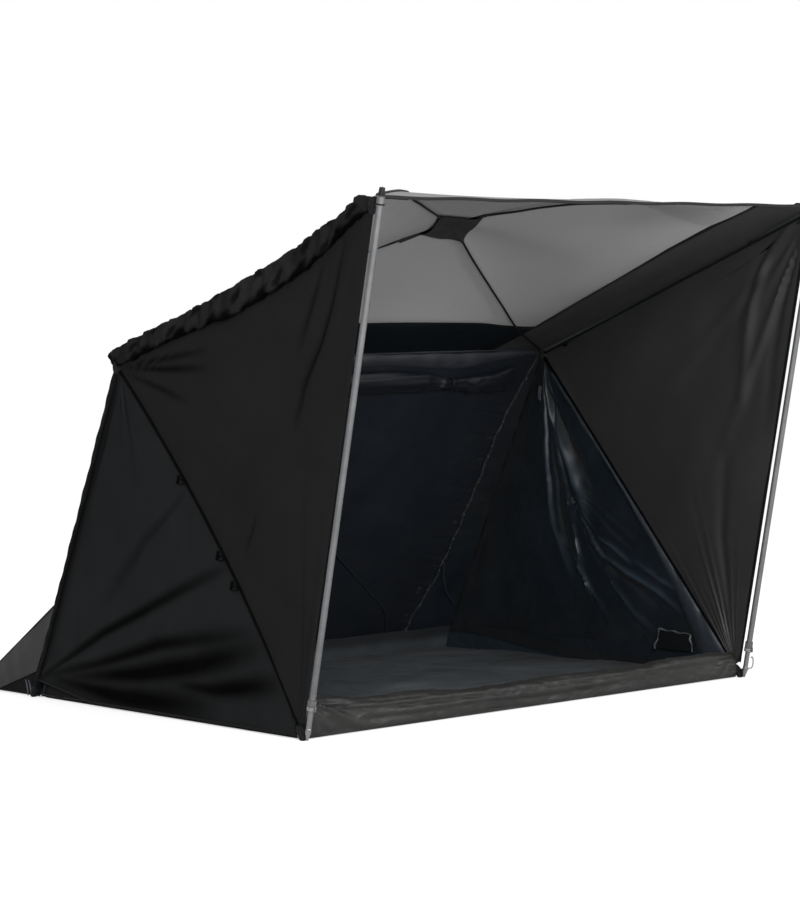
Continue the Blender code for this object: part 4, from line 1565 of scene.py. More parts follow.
@dataclass
class Roof:
    """The domed awning roof, its borders, hub, ribs and front hem."""

    loom: Loom
    rib_radius: float = 0.0048
    hub_height: float = 0.264
    shares: tuple[float, ...] = (
        0.0, 0.07, 0.15, 0.25, 0.35, 0.45, 0.55, 0.65, 0.75, 0.85, 0.95, 1.0)
    rib_front_right: tuple[float, ...] = (
        0.264, 0.276, 0.277, 0.270, 0.252, 0.220, 0.184, 0.140, 0.075, 0.020, 0.004, 0.0)
    rib_front_left: tuple[float, ...] = (
        0.264, 0.262, 0.253, 0.239, 0.226, 0.212, 0.190, 0.156, 0.114, 0.070, 0.024, 0.0)
    rib_rear_right: tuple[float, ...] = (
        0.264, 0.232, 0.198, 0.159, 0.121, 0.084, 0.050, 0.026, 0.008, 0.0, 0.0, 0.0)
    rib_rear_left: tuple[float, ...] = (
        0.264, 0.272, 0.263, 0.249, 0.223, 0.188, 0.144, 0.082, 0.020, 0.0, 0.0, 0.0)
    panel_front: tuple[float, ...] = (
        0.264, 0.262, 0.258, 0.248, 0.228, 0.200, 0.170, 0.138, 0.101, 0.062, 0.020, 0.0)
    panel_rear: tuple[float, ...] = (
        0.264, 0.246, 0.222, 0.190, 0.157, 0.122, 0.086, 0.046, 0.024, 0.012, 0.003, 0.0)

    def profile(self, heights: tuple[float, ...], share: Array) -> Array:
        """Returns eased heights at shares of the way from the hub outwards.

        Args:
            heights: the heights at the roof's own shares.
            share: shares of the way outwards.

        Returns:
            The heights.
        """
        fine = np.linspace(-0.1, 1.1, 241)
        table = np.interp(np.abs(fine), self.shares, heights)
        kernel = np.hanning(15) / np.hanning(15).sum()
        eased = np.convolve(table, kernel, mode="same")
        return np.interp(share, fine[10:-10], eased[10:-10])

    @property
    def side_end(self) -> float:
        """Where a side border meets the canopy, as a share aside."""
        return 1.0 - SIZES.border / SIZES.half_width

    @property
    def rear_end(self) -> float:
        """Where the rear border meets the canopy, as a share backwards."""
        return 1.0 - 2.0 * SIZES.border / SIZES.roof_length()

    def inner(self, side: Side, forwards: Array) -> Array:
        """Returns a side border's inner edge; the left one narrows towards the awning corner.

        Args:
            side: the side of the border.
            forwards: shares from -1 to 1.

        Returns:
            The edge, as shares aside.
        """
        if side is Side.RIGHT:
            return np.interp(forwards, [-1.0, -0.676, -0.06, 0.42, 1.0],
                             [0.745, 0.745, 0.722, 0.705, 0.730])
        narrow = np.clip((forwards - 0.55) / 0.42, 0.0, 1.0)
        return self.side_end + (0.992 - self.side_end) * narrow

    def dome(self, aside: Array, forwards: Array) -> Array:
        """Returns the height of the dome over the flat roof.

        Args:
            aside: shares from -1 to 1.
            forwards: shares from -1 to 1.

        Returns:
            The heights.
        """
        across, along = np.abs(aside), np.abs(forwards)
        share = np.maximum(across, along)
        over_rib = (np.minimum(across, along) / np.maximum(share, 1e-4)) ** 2
        right, front = aside > 0, forwards > 0
        ribs = np.where(front, np.where(right, self.profile(self.rib_front_right, share),
                                        self.profile(self.rib_front_left, share)),
                        np.where(right, self.profile(self.rib_rear_right, share),
                                 self.profile(self.rib_rear_left, share)))
        sideways = self.hub_height * (1.0 - np.minimum(share / self.side_end, 1.0) ** 1.35)
        panel = np.where(across > along, sideways,
                         np.where(front, self.profile(self.panel_front, share),
                                  self.profile(self.panel_rear, share)))
        flat = np.where(right, smooth(0.735 - aside, -0.03, 0.26), 1.0)
        return (panel + (ribs - panel) * over_rib) * flat

    def lay(self, aside: Array, forwards: Array) -> Array:
        """Returns points of the domed roof, with its slightly sagging front edge.

        Args:
            aside: shares from -1 to 1.
            forwards: shares from -1 to 1.

        Returns:
            The places.
        """
        droop = 0.005 * (1.0 - aside ** 2) * smooth(forwards, 0.72, 1.0)
        waves = 0.002 * np.sin(19.0 * aside + 1.0) * smooth(forwards, 0.90, 1.0)
        heights = self.dome(aside, forwards) - droop + waves
        return SIZES.roof_plane(aside, forwards) + SIZES.roof_up() * heights[..., None]

    def canopy(self, u: Array, v: Array) -> Array:
        """Returns the canopy, between the two side borders.

        Args:
            u: shares to the right.
            v: shares to the front.

        Returns:
            The places.
        """
        forwards = -self.rear_end - 0.01 + (1.0 + self.rear_end + 0.01) * v
        left = -self.inner(Side.LEFT, forwards) - 0.004
        right = self.inner(Side.RIGHT, forwards) + 0.010
        return self.lay(left + (right - left) * u, forwards)

    def eaves(self, side: Side) -> Surface:
        """Returns a side border, whose outer edge rolls down over the wing.

        Args:
            side: the side of the border.

        Returns:
            The border's surface.
        """
        def place(u: Array, v: Array) -> Array:
            """Returns the border's places."""
            forwards = 2.0 * v - 1.0
            first = self.inner(side, forwards)
            aside = side.value * (first + (1.0 - first) * u)
            places = self.lay(aside, forwards) - SIZES.roof_up() * 0.0016
            roll = smooth(u, 0.55, 1.0)
            places[:, 2] -= roll * (0.010 + 0.012 * np.sin(np.pi * v))
            places[:, 0] *= 1.0 - 0.004 * roll
            return places
        return place

    def build(self) -> None:
        """Makes every piece of the roof."""
        down = (0.0, 0.0, 1.0)
        front_right = SIZES.roof_plane(np.array([0.70]), np.array([0.95]))[0]
        canopy = self.loom.weave(Sheet(
            "canopy_sheet", self.canopy, 150, 140, "canopy_cloth", down,
            (Billow(0.8, 0.0020, 21),
             Fan(tuple(front_right), (0.2, -1.15, 1.95), 16.0, 4.0, 0.60, 0.008, 0.5, 0.35)),
            (0.02, 0.02, 0.02, 0.0), replaces=("roof_panel",), slot="roof_cloth",
            rests_on=("rib_sheathed_front_left", "rib_sheathed_front_right",
                      "rib_sheathed_rear_left", "rib_sheathed_rear_right"),
            lining="canopy_lining"))
        for side in Side:
            self.loom.weave(Sheet(
                f"eaves_sheet_{side.label}", self.eaves(side), 28, 120, "wing_cloth", down,
                (Billow(0.5, 0.0025, 31), Billow(0.14, 0.0008, 33)), (0.06, 0.06, 0.02, 0.02),
                replaces=(f"roof_border_{side.label}",), rests_on=("canopy_sheet",),
                lining="border_cloth"))

        def rear(u: Array, v: Array) -> Array:
            """Returns the border along the ridge."""
            return self.lay(self.side_end * (2.0 * u - 1.0), -1.0 + (1.0 - self.rear_end) * v) \
                - SIZES.roof_up() * 0.0016
        self.loom.weave(Sheet(
            "ridge_border_sheet", rear, 110, 24, "wing_cloth", down, (Billow(0.5, 0.0025, 35),),
            (0.02, 0.02, 0.05, 0.05), replaces=("roof_border_rear",), rests_on=("canopy_sheet",),
            lining="dark_border_cloth"))
        self.build_hem(canopy)
        self.build_hub_and_ribs()
        self.build_seams(canopy)

    def build_hem(self, canopy: Sheet) -> None:
        """Makes the stitched hem along the canopy's front edge.

        Args:
            canopy: the sheet that it is sewn to.
        """
        def hem(u: Array, v: Array) -> Array:
            """Returns the face of the front edge."""
            places = self.lay(1.97 * v - 0.985, np.full(len(v), 0.999))
            places[:, 1] -= 0.003
            places[:, 2] += 0.004 - 0.012 * u
            return places
        canopy.sew(self.loom.tape(
            "front_hem", hem, 0.012, "hem_tape", rows=150, thickness=0.0024,
            replaces=("roof_hem_front",), slot="apron_cloth"))
        cord = self.lay(np.linspace(-0.985, -0.86, 30), np.full(30, 0.996))
        canopy.sew(self.loom.tube(
            "hem_cord_left", cord + np.array([0.0, 0.002, -0.006]), 0.0038, "rod_black",
            "black_cloth"))

    def build_seams(self, canopy: Sheet) -> None:
        """Makes the seam tapes where the canopy meets its borders, with cut corners.

        Args:
            canopy: the sheet that they are sewn to.
        """
        gap = SIZES.roof_up() * 0.0030
        back, aside_cut = 0.030, 0.170
        for side in Side:
            sign = side.value
            route = [(sign * float(self.inner(side, f)), f)
                     for f in (0.985, 0.75, 0.55, 0.42, 0.0, -0.3)]
            route += [(sign * self.side_end, back - self.rear_end),
                      (sign * (self.side_end - aside_cut), -self.rear_end), (0.0, -self.rear_end)]
            line = polyline([(a, b, 0.0) for a, b in route])

            def tape(u: Array, v: Array) -> Array:
                """Returns the tape, square to the seam at each place."""
                at = line(v)
                ahead = line(np.clip(v + 0.004, 0, 1)) - line(np.clip(v - 0.004, 0, 1))
                ahead /= np.linalg.norm(ahead, axis=1, keepdims=True)
                width = (u - 0.5) * 0.018
                return self.lay(at[:, 0] - ahead[:, 1] * width,
                                np.minimum(at[:, 1] + ahead[:, 0] * width, 0.99)) - gap
            canopy.sew(
                self.loom.tape(f"canopy_seam_{side.label}", tape, 0.018, rows=140))
            cut = [np.array([sign * self.side_end, back - self.rear_end]),
                   np.array([sign * (self.side_end - aside_cut), -self.rear_end]),
                   np.array([sign * (self.side_end + 0.004), -self.rear_end - 0.004])]

            def patch(u: Array, v: Array) -> Array:
                """Returns the three-cornered patch at the cut corner."""
                flat = mix(mix(cut[0], cut[1], v), cut[2], 0.96 * u)
                return self.lay(flat[:, 0], flat[:, 1]) - gap * 0.8
            canopy.sew(
                self.loom.tape(f"canopy_corner_{side.label}", patch, 0.05, "seam_tape", rows=12))

    def rib_line(self, side: Side, forwards: float, first: float, last: float) -> Array:
        """Returns the points of a rib, which passes from under the canopy to over it in front.

        Args:
            side: the side of the rib.
            forwards: 1 for a front rib, else -1.
            first: the share at which it starts.
            last: the share at which it ends.

        Returns:
            The points.
        """
        share = np.linspace(first, last, 48)
        places = self.lay(side.value * share, forwards * share)
        over = smooth(share, 0.49, 0.54) if forwards > 0 else np.zeros(48)
        drop = self.rib_radius + 0.0025 + 0.0130 * smooth(share, 0.06, 0.20)
        drop = drop * (1.0 - over) - (self.rib_radius + 0.0010) * over
        return places - SIZES.roof_up() * drop[:, None]

    def build_hub_and_ribs(self) -> None:
        """Makes the four ribs, their sockets and the concave patch at the hub."""
        starts = {"front_left": (Side.LEFT, 1.0, 0.140), "front_right": (Side.RIGHT, 1.0, 0.078),
                  "rear_right": (Side.RIGHT, -1.0, 0.070), "rear_left": (Side.LEFT, -1.0, 0.100)}
        for name, (side, forwards, start) in starts.items():
            end = SIZES.awning(side) if forwards > 0 else SIZES.ridge(side)
            line = self.rib_line(side, forwards, 0.02, 0.955)
            line = np.concatenate([line, [line[-1] * 0.3 + end * 0.7 + [0, 0, -0.004]]])
            self.loom.tube(f"rib_sheathed_{name}", line, self.rib_radius, "rod_black",
                           "frame_black", (f"rib_{name}",))
            longer, thick = (0.060, 2.6) if name == "rear_left" else (0.020, 1.5)
            socket = self.rib_line(side, forwards, start * 0.9, start + longer)
            self.loom.tube(f"rib_socket_{name}", socket, self.rib_radius * thick,
                           "moulded_black", "frame_black")

        def patch(u: Array, v: Array) -> Array:
            """Returns the patch, whose four sides curve inwards."""
            a, b = 2.0 * u - 1.0, 2.0 * v - 1.0
            s = (a * (1.0 - 0.07 * (1.0 - b ** 2) * np.abs(a)) + 1.0) / 2.0
            t = (b * (1.0 - 0.07 * (1.0 - a ** 2) * np.abs(b)) + 1.0) / 2.0
            reach = mix(mix(np.array([-0.100, -0.100]), np.array([0.085, -0.085]), s),
                        mix(np.array([-0.160, 0.160]), np.array([0.088, 0.088]), s), t)
            return self.lay(reach[:, 0], reach[:, 1]) - SIZES.roof_up() * 0.0150
        self.loom.weave(Sheet(
            "hub_patch", patch, 24, 24, "patch_cloth", (0.0, 0.0, -1.0), (), (0, 0, 0, 0),
            thickness=0.003, replaces=("roof_hub",), slot="frame_black",
            rests_on=("canopy_sheet",)))


@dataclass
class Rear:
    """The rear slope, its band, its rolled flap and the pegged apron."""

    loom: Loom
    apron_top: float = 0.43
    apron_back: float = 1.415
    apron_lip: float = 0.09
    toe_back: float = 1.385
    tie_at: float = 0.65
    roll_half: float = 1.03
    seam_heights: tuple[float, ...] = (0.0, 0.18, 0.37, 0.57, 0.83, 1.07, 1.23, 1.33, 1.40, 1.48)
    seam_halves: tuple[float, ...] = (
        0.850, 0.895, 0.965, 1.000, 1.035, 1.055, 1.085, 1.120, 1.150, 1.172)
    seam_low: float = 0.002
    seam_tall: float = 1.472

    def slope(self, x: Array, z: Array, inwards: float | Array = 0.0) -> Array:
        """Returns points of the rear slope at given X and height, moved towards the inside.

        Args:
            x: the points' X.
            z: their heights.
            inwards: how far they are moved.

        Returns:
            The points.
        """
        low, high = SIZES.rear_foot(Side.RIGHT), SIZES.ridge(Side.RIGHT)
        share = (z - low[2]) / (high[2] - low[2])
        y = low[1] + (high[1] - low[1]) * share
        lean = unit(np.array([0.0, -(high[2] - low[2]), -(low[1] - high[1])]))
        places = np.stack([x, y, z], axis=-1)
        return places + lean * np.broadcast_to(inwards, np.shape(x))[..., None]

    def half(self, z: Array) -> Array:
        """Returns how far the taut panel's seam is from the middle at a height."""
        return np.interp(z, self.seam_heights, self.seam_halves)

    def build(self) -> None:
        """Makes every piece of the rear."""
        self.build_wall()
        self.build_band()
        self.build_roll()
        self.build_apron()

    def build_wall(self) -> None:
        """Makes the taut rear panel, its gathered seams and its door zip."""
        behind = (0.0, 1.0, 0.6)

        def panel(u: Array, v: Array) -> Array:
            """Returns the taut panel between its seams."""
            z = self.seam_low + self.seam_tall * v
            return self.slope((2.0 * u - 1.0) * self.half(z), z)
        puckers = []
        for side in Side:
            ends = [tuple(self.slope(side.value * self.half(z), z)) for z in
                    (np.array(0.12), np.array(0.62), np.array(1.34))]
            puckers += [Gathers(ends[0], ends[1], 0.034, 0.070, 0.0075, 1.0 + side.value, 0.55),
                        Gathers(ends[1], ends[2], 0.030, 0.085, 0.0085, 3.0 + side.value, 0.55)]
        wall = self.loom.weave(Sheet(
            "rear_sheet", panel, 150, 130, "wall_cloth", behind,
            (Billow(0.9, 0.004, 41), Billow(0.2, 0.0008, 42), *puckers), (0.003, 0.003, 0.0, 0.03),
            replaces=("rear_wall",), slot="wall_cloth", lining="rear_cloth",
            rests_on=("rear_sleeve_left", "rear_sleeve_right"),
            tone=lambda u, v: 0.9 * np.exp(-(np.minimum(u, 1.0 - u) / 0.006) ** 2)))
        share = np.linspace(0.0, 1.0, 110)
        for side in Side:
            wall.sew(self.build_flank(side, share, behind))
            route = [(0.02, 0.735), (0.10, 0.70), (0.317, 0.525), (0.524, 0.371), (0.677, 0.258),
                     (0.735, 0.19), (0.755, 0.13)]
            line = polyline([(side.value * x, z, 0.0) for x, z in route])(share)
            wall.sew(self.loom.tube(
                f"rear_zip_{side.label}", self.slope(line[:, 0], line[:, 1], 0.005), 0.0042,
                "zip_teeth", "frame_black"))

    def build_flank(self, side: Side, share: Array, behind: Point) -> Object:
        """Makes the strip between the taut panel and the rafter, and the knobbly seam.

        Args:
            side: the side of the strip.
            share: the steps along the seam.
            behind: the way that the outside faces.

        Returns:
            The seam, which is sewn to the taut panel.
        """
        sign, label = side.value, side.label

        def flank(u: Array, v: Array) -> Array:
            """Returns the strip from the seam to the rafter."""
            z = self.seam_low + self.seam_tall * v
            inner = self.half(z) - 0.006
            return self.slope(sign * (inner + (SIZES.half_width - 0.003 - inner) * u), z)
        # painted shade over the upper part of the strip, under the roof
        strip = self.loom.weave(Sheet(
            f"rear_flank_{label}", flank, 24, 110, "wall_cloth", behind, (Billow(0.2, 0.004, 43),),
            (0.1, 0.1, 0.0, 0.03), slot="wall_cloth", lining="wall_lining",
            rests_on=(f"rear_sleeve_{label}",), tone=lambda u, v: 0.55 * smooth(v, 0.15, 0.5)))
        z = 0.10 + 1.25 * share
        cord = self.slope(sign * (self.half(z) - 0.002 + 0.004 * np.sin(share * 63.0)), z, 0.008)
        knobbly = 0.0064 * (1.0 + 0.36 * np.sin(share * 191.0) + 0.22 * np.sin(share * 337.0))
        knobs = self.loom.tube(f"rear_seam_{label}", cord, knobbly, "knobbly_seam", "black_cloth")
        route = [(0.985, 0.45), (1.010, 0.375), (1.055, 0.305), (1.135, 0.235)]
        line = polyline([(sign * x, height, 0.0) for x, height in route])(share)
        strip.sew(self.loom.tube(
            f"flank_zip_{label}", self.slope(line[:, 0], line[:, 1], 0.014), 0.0030,
            "gusset_cloth", "frame_black"))
        return knobs

    def build_band(self) -> None:
        """Makes the pale band under the ridge, which hangs lower beside the ties."""
        widest = self.seam_halves[-1]

        def band(u: Array, v: Array) -> Array:
            """Returns the band from its lower edge to the ridge."""
            x = (2.0 * u - 1.0) * widest
            low = np.interp(np.abs(x), [0.0, 0.30, 0.58, 0.66, 0.80, 1.00, widest],
                            [1.424, 1.420, 1.404, 1.398, 1.412, 1.444, 1.462])
            under = self.slope(x, low, 0.006)
            over = SIZES.roof_plane(x / SIZES.half_width, np.full(len(x), -0.996))
            places = mix(under, over, v)
            places[:, 1] -= 0.014 * np.sin(np.pi * v)
            return places
        # painted shade along the band's lower edge and at both its ends
        self.loom.weave(Sheet(
            "ridge_band_sheet", band, 150, 14, "band_cloth", (0.0, -1.0, 0.0),
            (Billow(0.30, 0.003, 51), Gathers((-1.16, 0.24, 1.42), (1.16, 0.24, 1.42), 0.16,
                                              0.05, 0.004, 0.3, 0.3)),
            (0.02, 0.02, 0.0, 0.1), replaces=("ridge_band",), rests_on=("ridge_border_sheet",),
            tone=lambda u, v: np.maximum(0.8 * smooth(1.0 - v, 0.80, 1.0),
                                         0.85 * smooth(np.abs(2.0 * u - 1.0), 0.80, 1.0))))

    def build_roll(self) -> None:
        """Makes the flap rolled up inside, tied at two places and flaring beyond them."""
        deselect()
        bpy.ops.mesh.primitive_uv_sphere_add(segments=32, ring_count=120)
        roll = bpy.context.active_object
        ball = read_places(roll.data)
        along = 1.0 - 2.0 * np.arccos(np.clip(ball[:, 2], -1.0, 1.0)) / np.pi
        x = along * self.roll_half
        angle, size = np.arctan2(ball[:, 1], ball[:, 0]), smooth(1.0 - np.abs(along), 0.0, 0.018)
        stations = [0.0, 0.30, 0.50, 0.60, self.tie_at, 0.70, 0.78, 0.90, self.roll_half]
        centre = np.interp(np.abs(x), stations,
                           [1.352, 1.350, 1.346, 1.342, 1.338, 1.336, 1.336, 1.342, 1.360])
        tall = np.interp(np.abs(x), stations,
                         [0.044, 0.043, 0.039, 0.030, 0.015, 0.028, 0.042, 0.050, 0.056])
        deep = np.interp(np.abs(x), stations,
                         [0.023, 0.023, 0.021, 0.017, 0.012, 0.015, 0.018, 0.018, 0.010])
        folds = 1.0 + 0.07 * np.sin(4.0 * angle + 5.0 * x) + 0.05 * np.sin(7.0 * angle - 13.0 * x)
        z = centre + tall * size * folds * np.sin(angle)
        places = self.slope(x, z, 0.026 + deep * size * folds * np.cos(angle))
        write_places(roll.data, places)
        turn_outwards()
        held = np.exp(-((np.abs(x) - self.tie_at) / 0.022) ** 2) + smooth(np.abs(x), 0.98, 1.02)
        self.settle(roll, np.clip(held, 0.0, 1.0), places)
        rounder = roll.modifiers.new("rounder", "SUBSURF")
        rounder.levels = rounder.render_levels = 1
        bpy.ops.object.shade_smooth()
        freeze(roll)
        self.loom.finish_piece(roll, "flap_roll", "roll_cloth", "wall_cloth", ("rear_flap_roll",))
        turn = np.linspace(0.0, 2.0 * math.pi, 20)
        ring = self.slope(np.full(20, -self.tie_at), 1.338 + 0.026 * np.sin(turn),
                          0.026 + 0.018 * np.cos(turn))
        tie = self.loom.tube("roll_tie_left", ring, 0.0045, "webbing", "black_cloth")
        self.loom.copy(tie, "roll_tie_right", np.array([2.0 * self.tie_at, 0.0, 0.0]),
                       "black_cloth")

    @staticmethod
    def settle(roll: Object, held: Array, start: Array, frames: int = 20,
               most: float = 0.007) -> None:
        """Lets the rolled cloth swell and crumple between its ties by cloth simulation.

        Args:
            roll: the roll.
            held: how firmly each vertex is held, from 0 to 1.
            start: the vertices' places before.
            frames: how long the cloth moves.
            most: the furthest that a vertex may move.
        """
        group = roll.vertex_groups.new(name="held")
        for index, weight in enumerate(held):
            group.add([index], float(weight), "REPLACE")
        cloth = roll.modifiers.new("cloth", "CLOTH")
        cloth.settings.quality = 5
        cloth.settings.mass = 0.2
        cloth.settings.bending_stiffness = 0.35
        cloth.settings.shrink_min = -0.05
        cloth.settings.use_pressure = True
        cloth.settings.uniform_pressure_force = 0.5
        cloth.settings.vertex_group_mass = "held"
        cloth.settings.effector_weights.gravity = 0.0
        for number in range(1, frames + 1):
            bpy.context.scene.frame_set(number)
        freeze(roll)
        bpy.context.scene.frame_set(1)
        moved = read_places(roll.data) - start
        reach = np.linalg.norm(moved, axis=1, keepdims=True)
        moved *= np.minimum(1.0, most / np.maximum(reach, 1e-9))
        write_places(roll.data, start + moved)

    def build_apron(self) -> None:
        """Makes the apron's slope and lip."""
        joint_z = SIZES.ridge_z - SIZES.joint_drop
        share = (joint_z - self.apron_top) / (joint_z - SIZES.fitting_z)
        joint_y = SIZES.ridge_y + (SIZES.rear_y - SIZES.ridge_y) * share
        half = SIZES.half_width - 0.008
        top = np.array([0.0, joint_y + 0.006, self.apron_top - 0.002])
        lip = np.array([0.0, self.apron_back, self.apron_lip])
        toe = np.array([0.0, self.toe_back, 0.003])
        reach = np.array([half, 0.0, 0.0])

        def slope(u: Array, v: Array) -> Array:
            """Returns the sagging slope from the lip to the wall."""
            sag = 0.020 * np.sin(np.pi * v) * (0.4 + 0.6 * np.sin(np.pi * u))
            places = mix(lip, top, v) + reach * (2.0 * u - 1.0)[:, None]
            places[:, 2] -= sag
            return places
        self.loom.weave(Sheet(
            "apron_sheet", slope, 110, 40, "apron_cloth", (0.0, 0.6, 1.0),
            (Billow(0.5, 0.004, 61),
             *(Fan((sign * 1.17, 1.40, 0.09), (sign * 0.2, 1.15, 0.25), 20.0, 3.0, 0.9, 0.012, 0.4)
               for sign in (1.0, -1.0))),
            (0.03, 0.03, 0.06, 0.06), replaces=("rear_apron",), slot="apron_cloth",
            rests_on=("rear_sheet",)))

        def low(u: Array, v: Array) -> Array:
            """Returns the lip from the ground up."""
            places = mix(toe, lip, v) + reach * (2.0 * u - 1.0)[:, None]
            places[:, 1] += 0.004 * np.sin(40.0 * u) * (1.0 - v)
            return places
        self.loom.weave(Sheet(
            "apron_lip_sheet", low, 110, 8, "wing_cloth", (0.0, 1.0, 0.0),
            (Billow(0.3, 0.003, 63),), (0.02, 0.02, 0.0, 0.1), replaces=("apron_lip",),
            slot="apron_cloth", rests_on=("apron_sheet",)))
        for side in Side:
            self.build_apron_end(side, top, lip, toe)

    def build_apron_end(self, side: Side, top: Array, lip: Array, toe: Array) -> None:
        """Makes one end of the apron: its pale upper part, a skirt painted near-black for the shade
        under it, binding and loops.

        Args:
            side: the side of the end.
            top: the upper corner.
            lip: the rear corner over the ground.
            toe: the rear corner on the ground.
        """
        sign, label = side.value, side.label
        aside = np.array([sign * (SIZES.half_width - 0.004), 0.0, 0.0])
        corner = np.array([0.0, SIZES.rear_y - 0.030, 0.115])

        def end(u: Array, v: Array) -> Array:
            """Returns the pale end, which bulges outwards."""
            near = mix(corner, top, v) + [0.0, 0.012, 0.0]
            places = mix(near, mix(toe, lip, v), u) + aside
            places[:, 0] += sign * 0.008 * np.sin(np.pi * u) * np.sin(np.pi * v)
            return places
        pale_end = self.loom.weave(Sheet(
            f"apron_end_sheet_{label}", end, 40, 24, "apron_cloth", (sign, 0.0, 0.0),
            (Billow(0.25, 0.003, 71),), (0.1, 0.05, 0.05, 0.05),
            replaces=(f"apron_end_{label}",), slot="apron_cloth", rests_on=("apron_sheet",)))

        def skirt(u: Array, v: Array) -> Array:
            """Returns the skirt along the ground, painted near-black for the shade under the apron.
            """
            low = mix(corner * [0, 1, 0] + [0.0, 0.0, 0.003], toe, u)
            high = mix(corner + [0.0, 0.012, 0.010], toe + [0.0, 0.0, 0.012], u)
            return mix(low, high, v) + aside * 0.995
        dark_skirt = self.loom.weave(Sheet(
            f"apron_skirt_{label}", skirt, 30, 8, "skirt_cloth", (sign, 0.0, 0.0),
            (Billow(0.2, 0.002, 73),), slot="black_cloth",
            rests_on=(f"apron_end_sheet_{label}",)))

        def edge(share: Array) -> Array:
            """Returns the edge from the top corner to the lip."""
            return mix(top, lip, share) + aside + np.array([0.0, 0.0, 0.002])
        pale_end.sew(self.loom.tape(
            f"apron_binding_{label}", tape_along(edge, unit(np.array([0.0, 0.55, -1.0])), 0.010,
                                                 np.array([sign * 0.002, 0.0, 0.0])), 0.010,
            thickness=0.0035))
        for number, shift in enumerate((0.0, 0.028)):
            loop = np.array([[sign * 1.186, 1.045 + shift, 0.004],
                             [sign * 1.190, 1.040 + shift, 0.030],
                             [sign * 1.188, 1.052 + shift, 0.062],
                             [sign * 1.184, 1.066 + shift, 0.070]])
            dark_skirt.sew(self.loom.tube(
                f"peg_loop_{label}_{number}", loop, 0.0030, "pale_tape", "cord_black"))


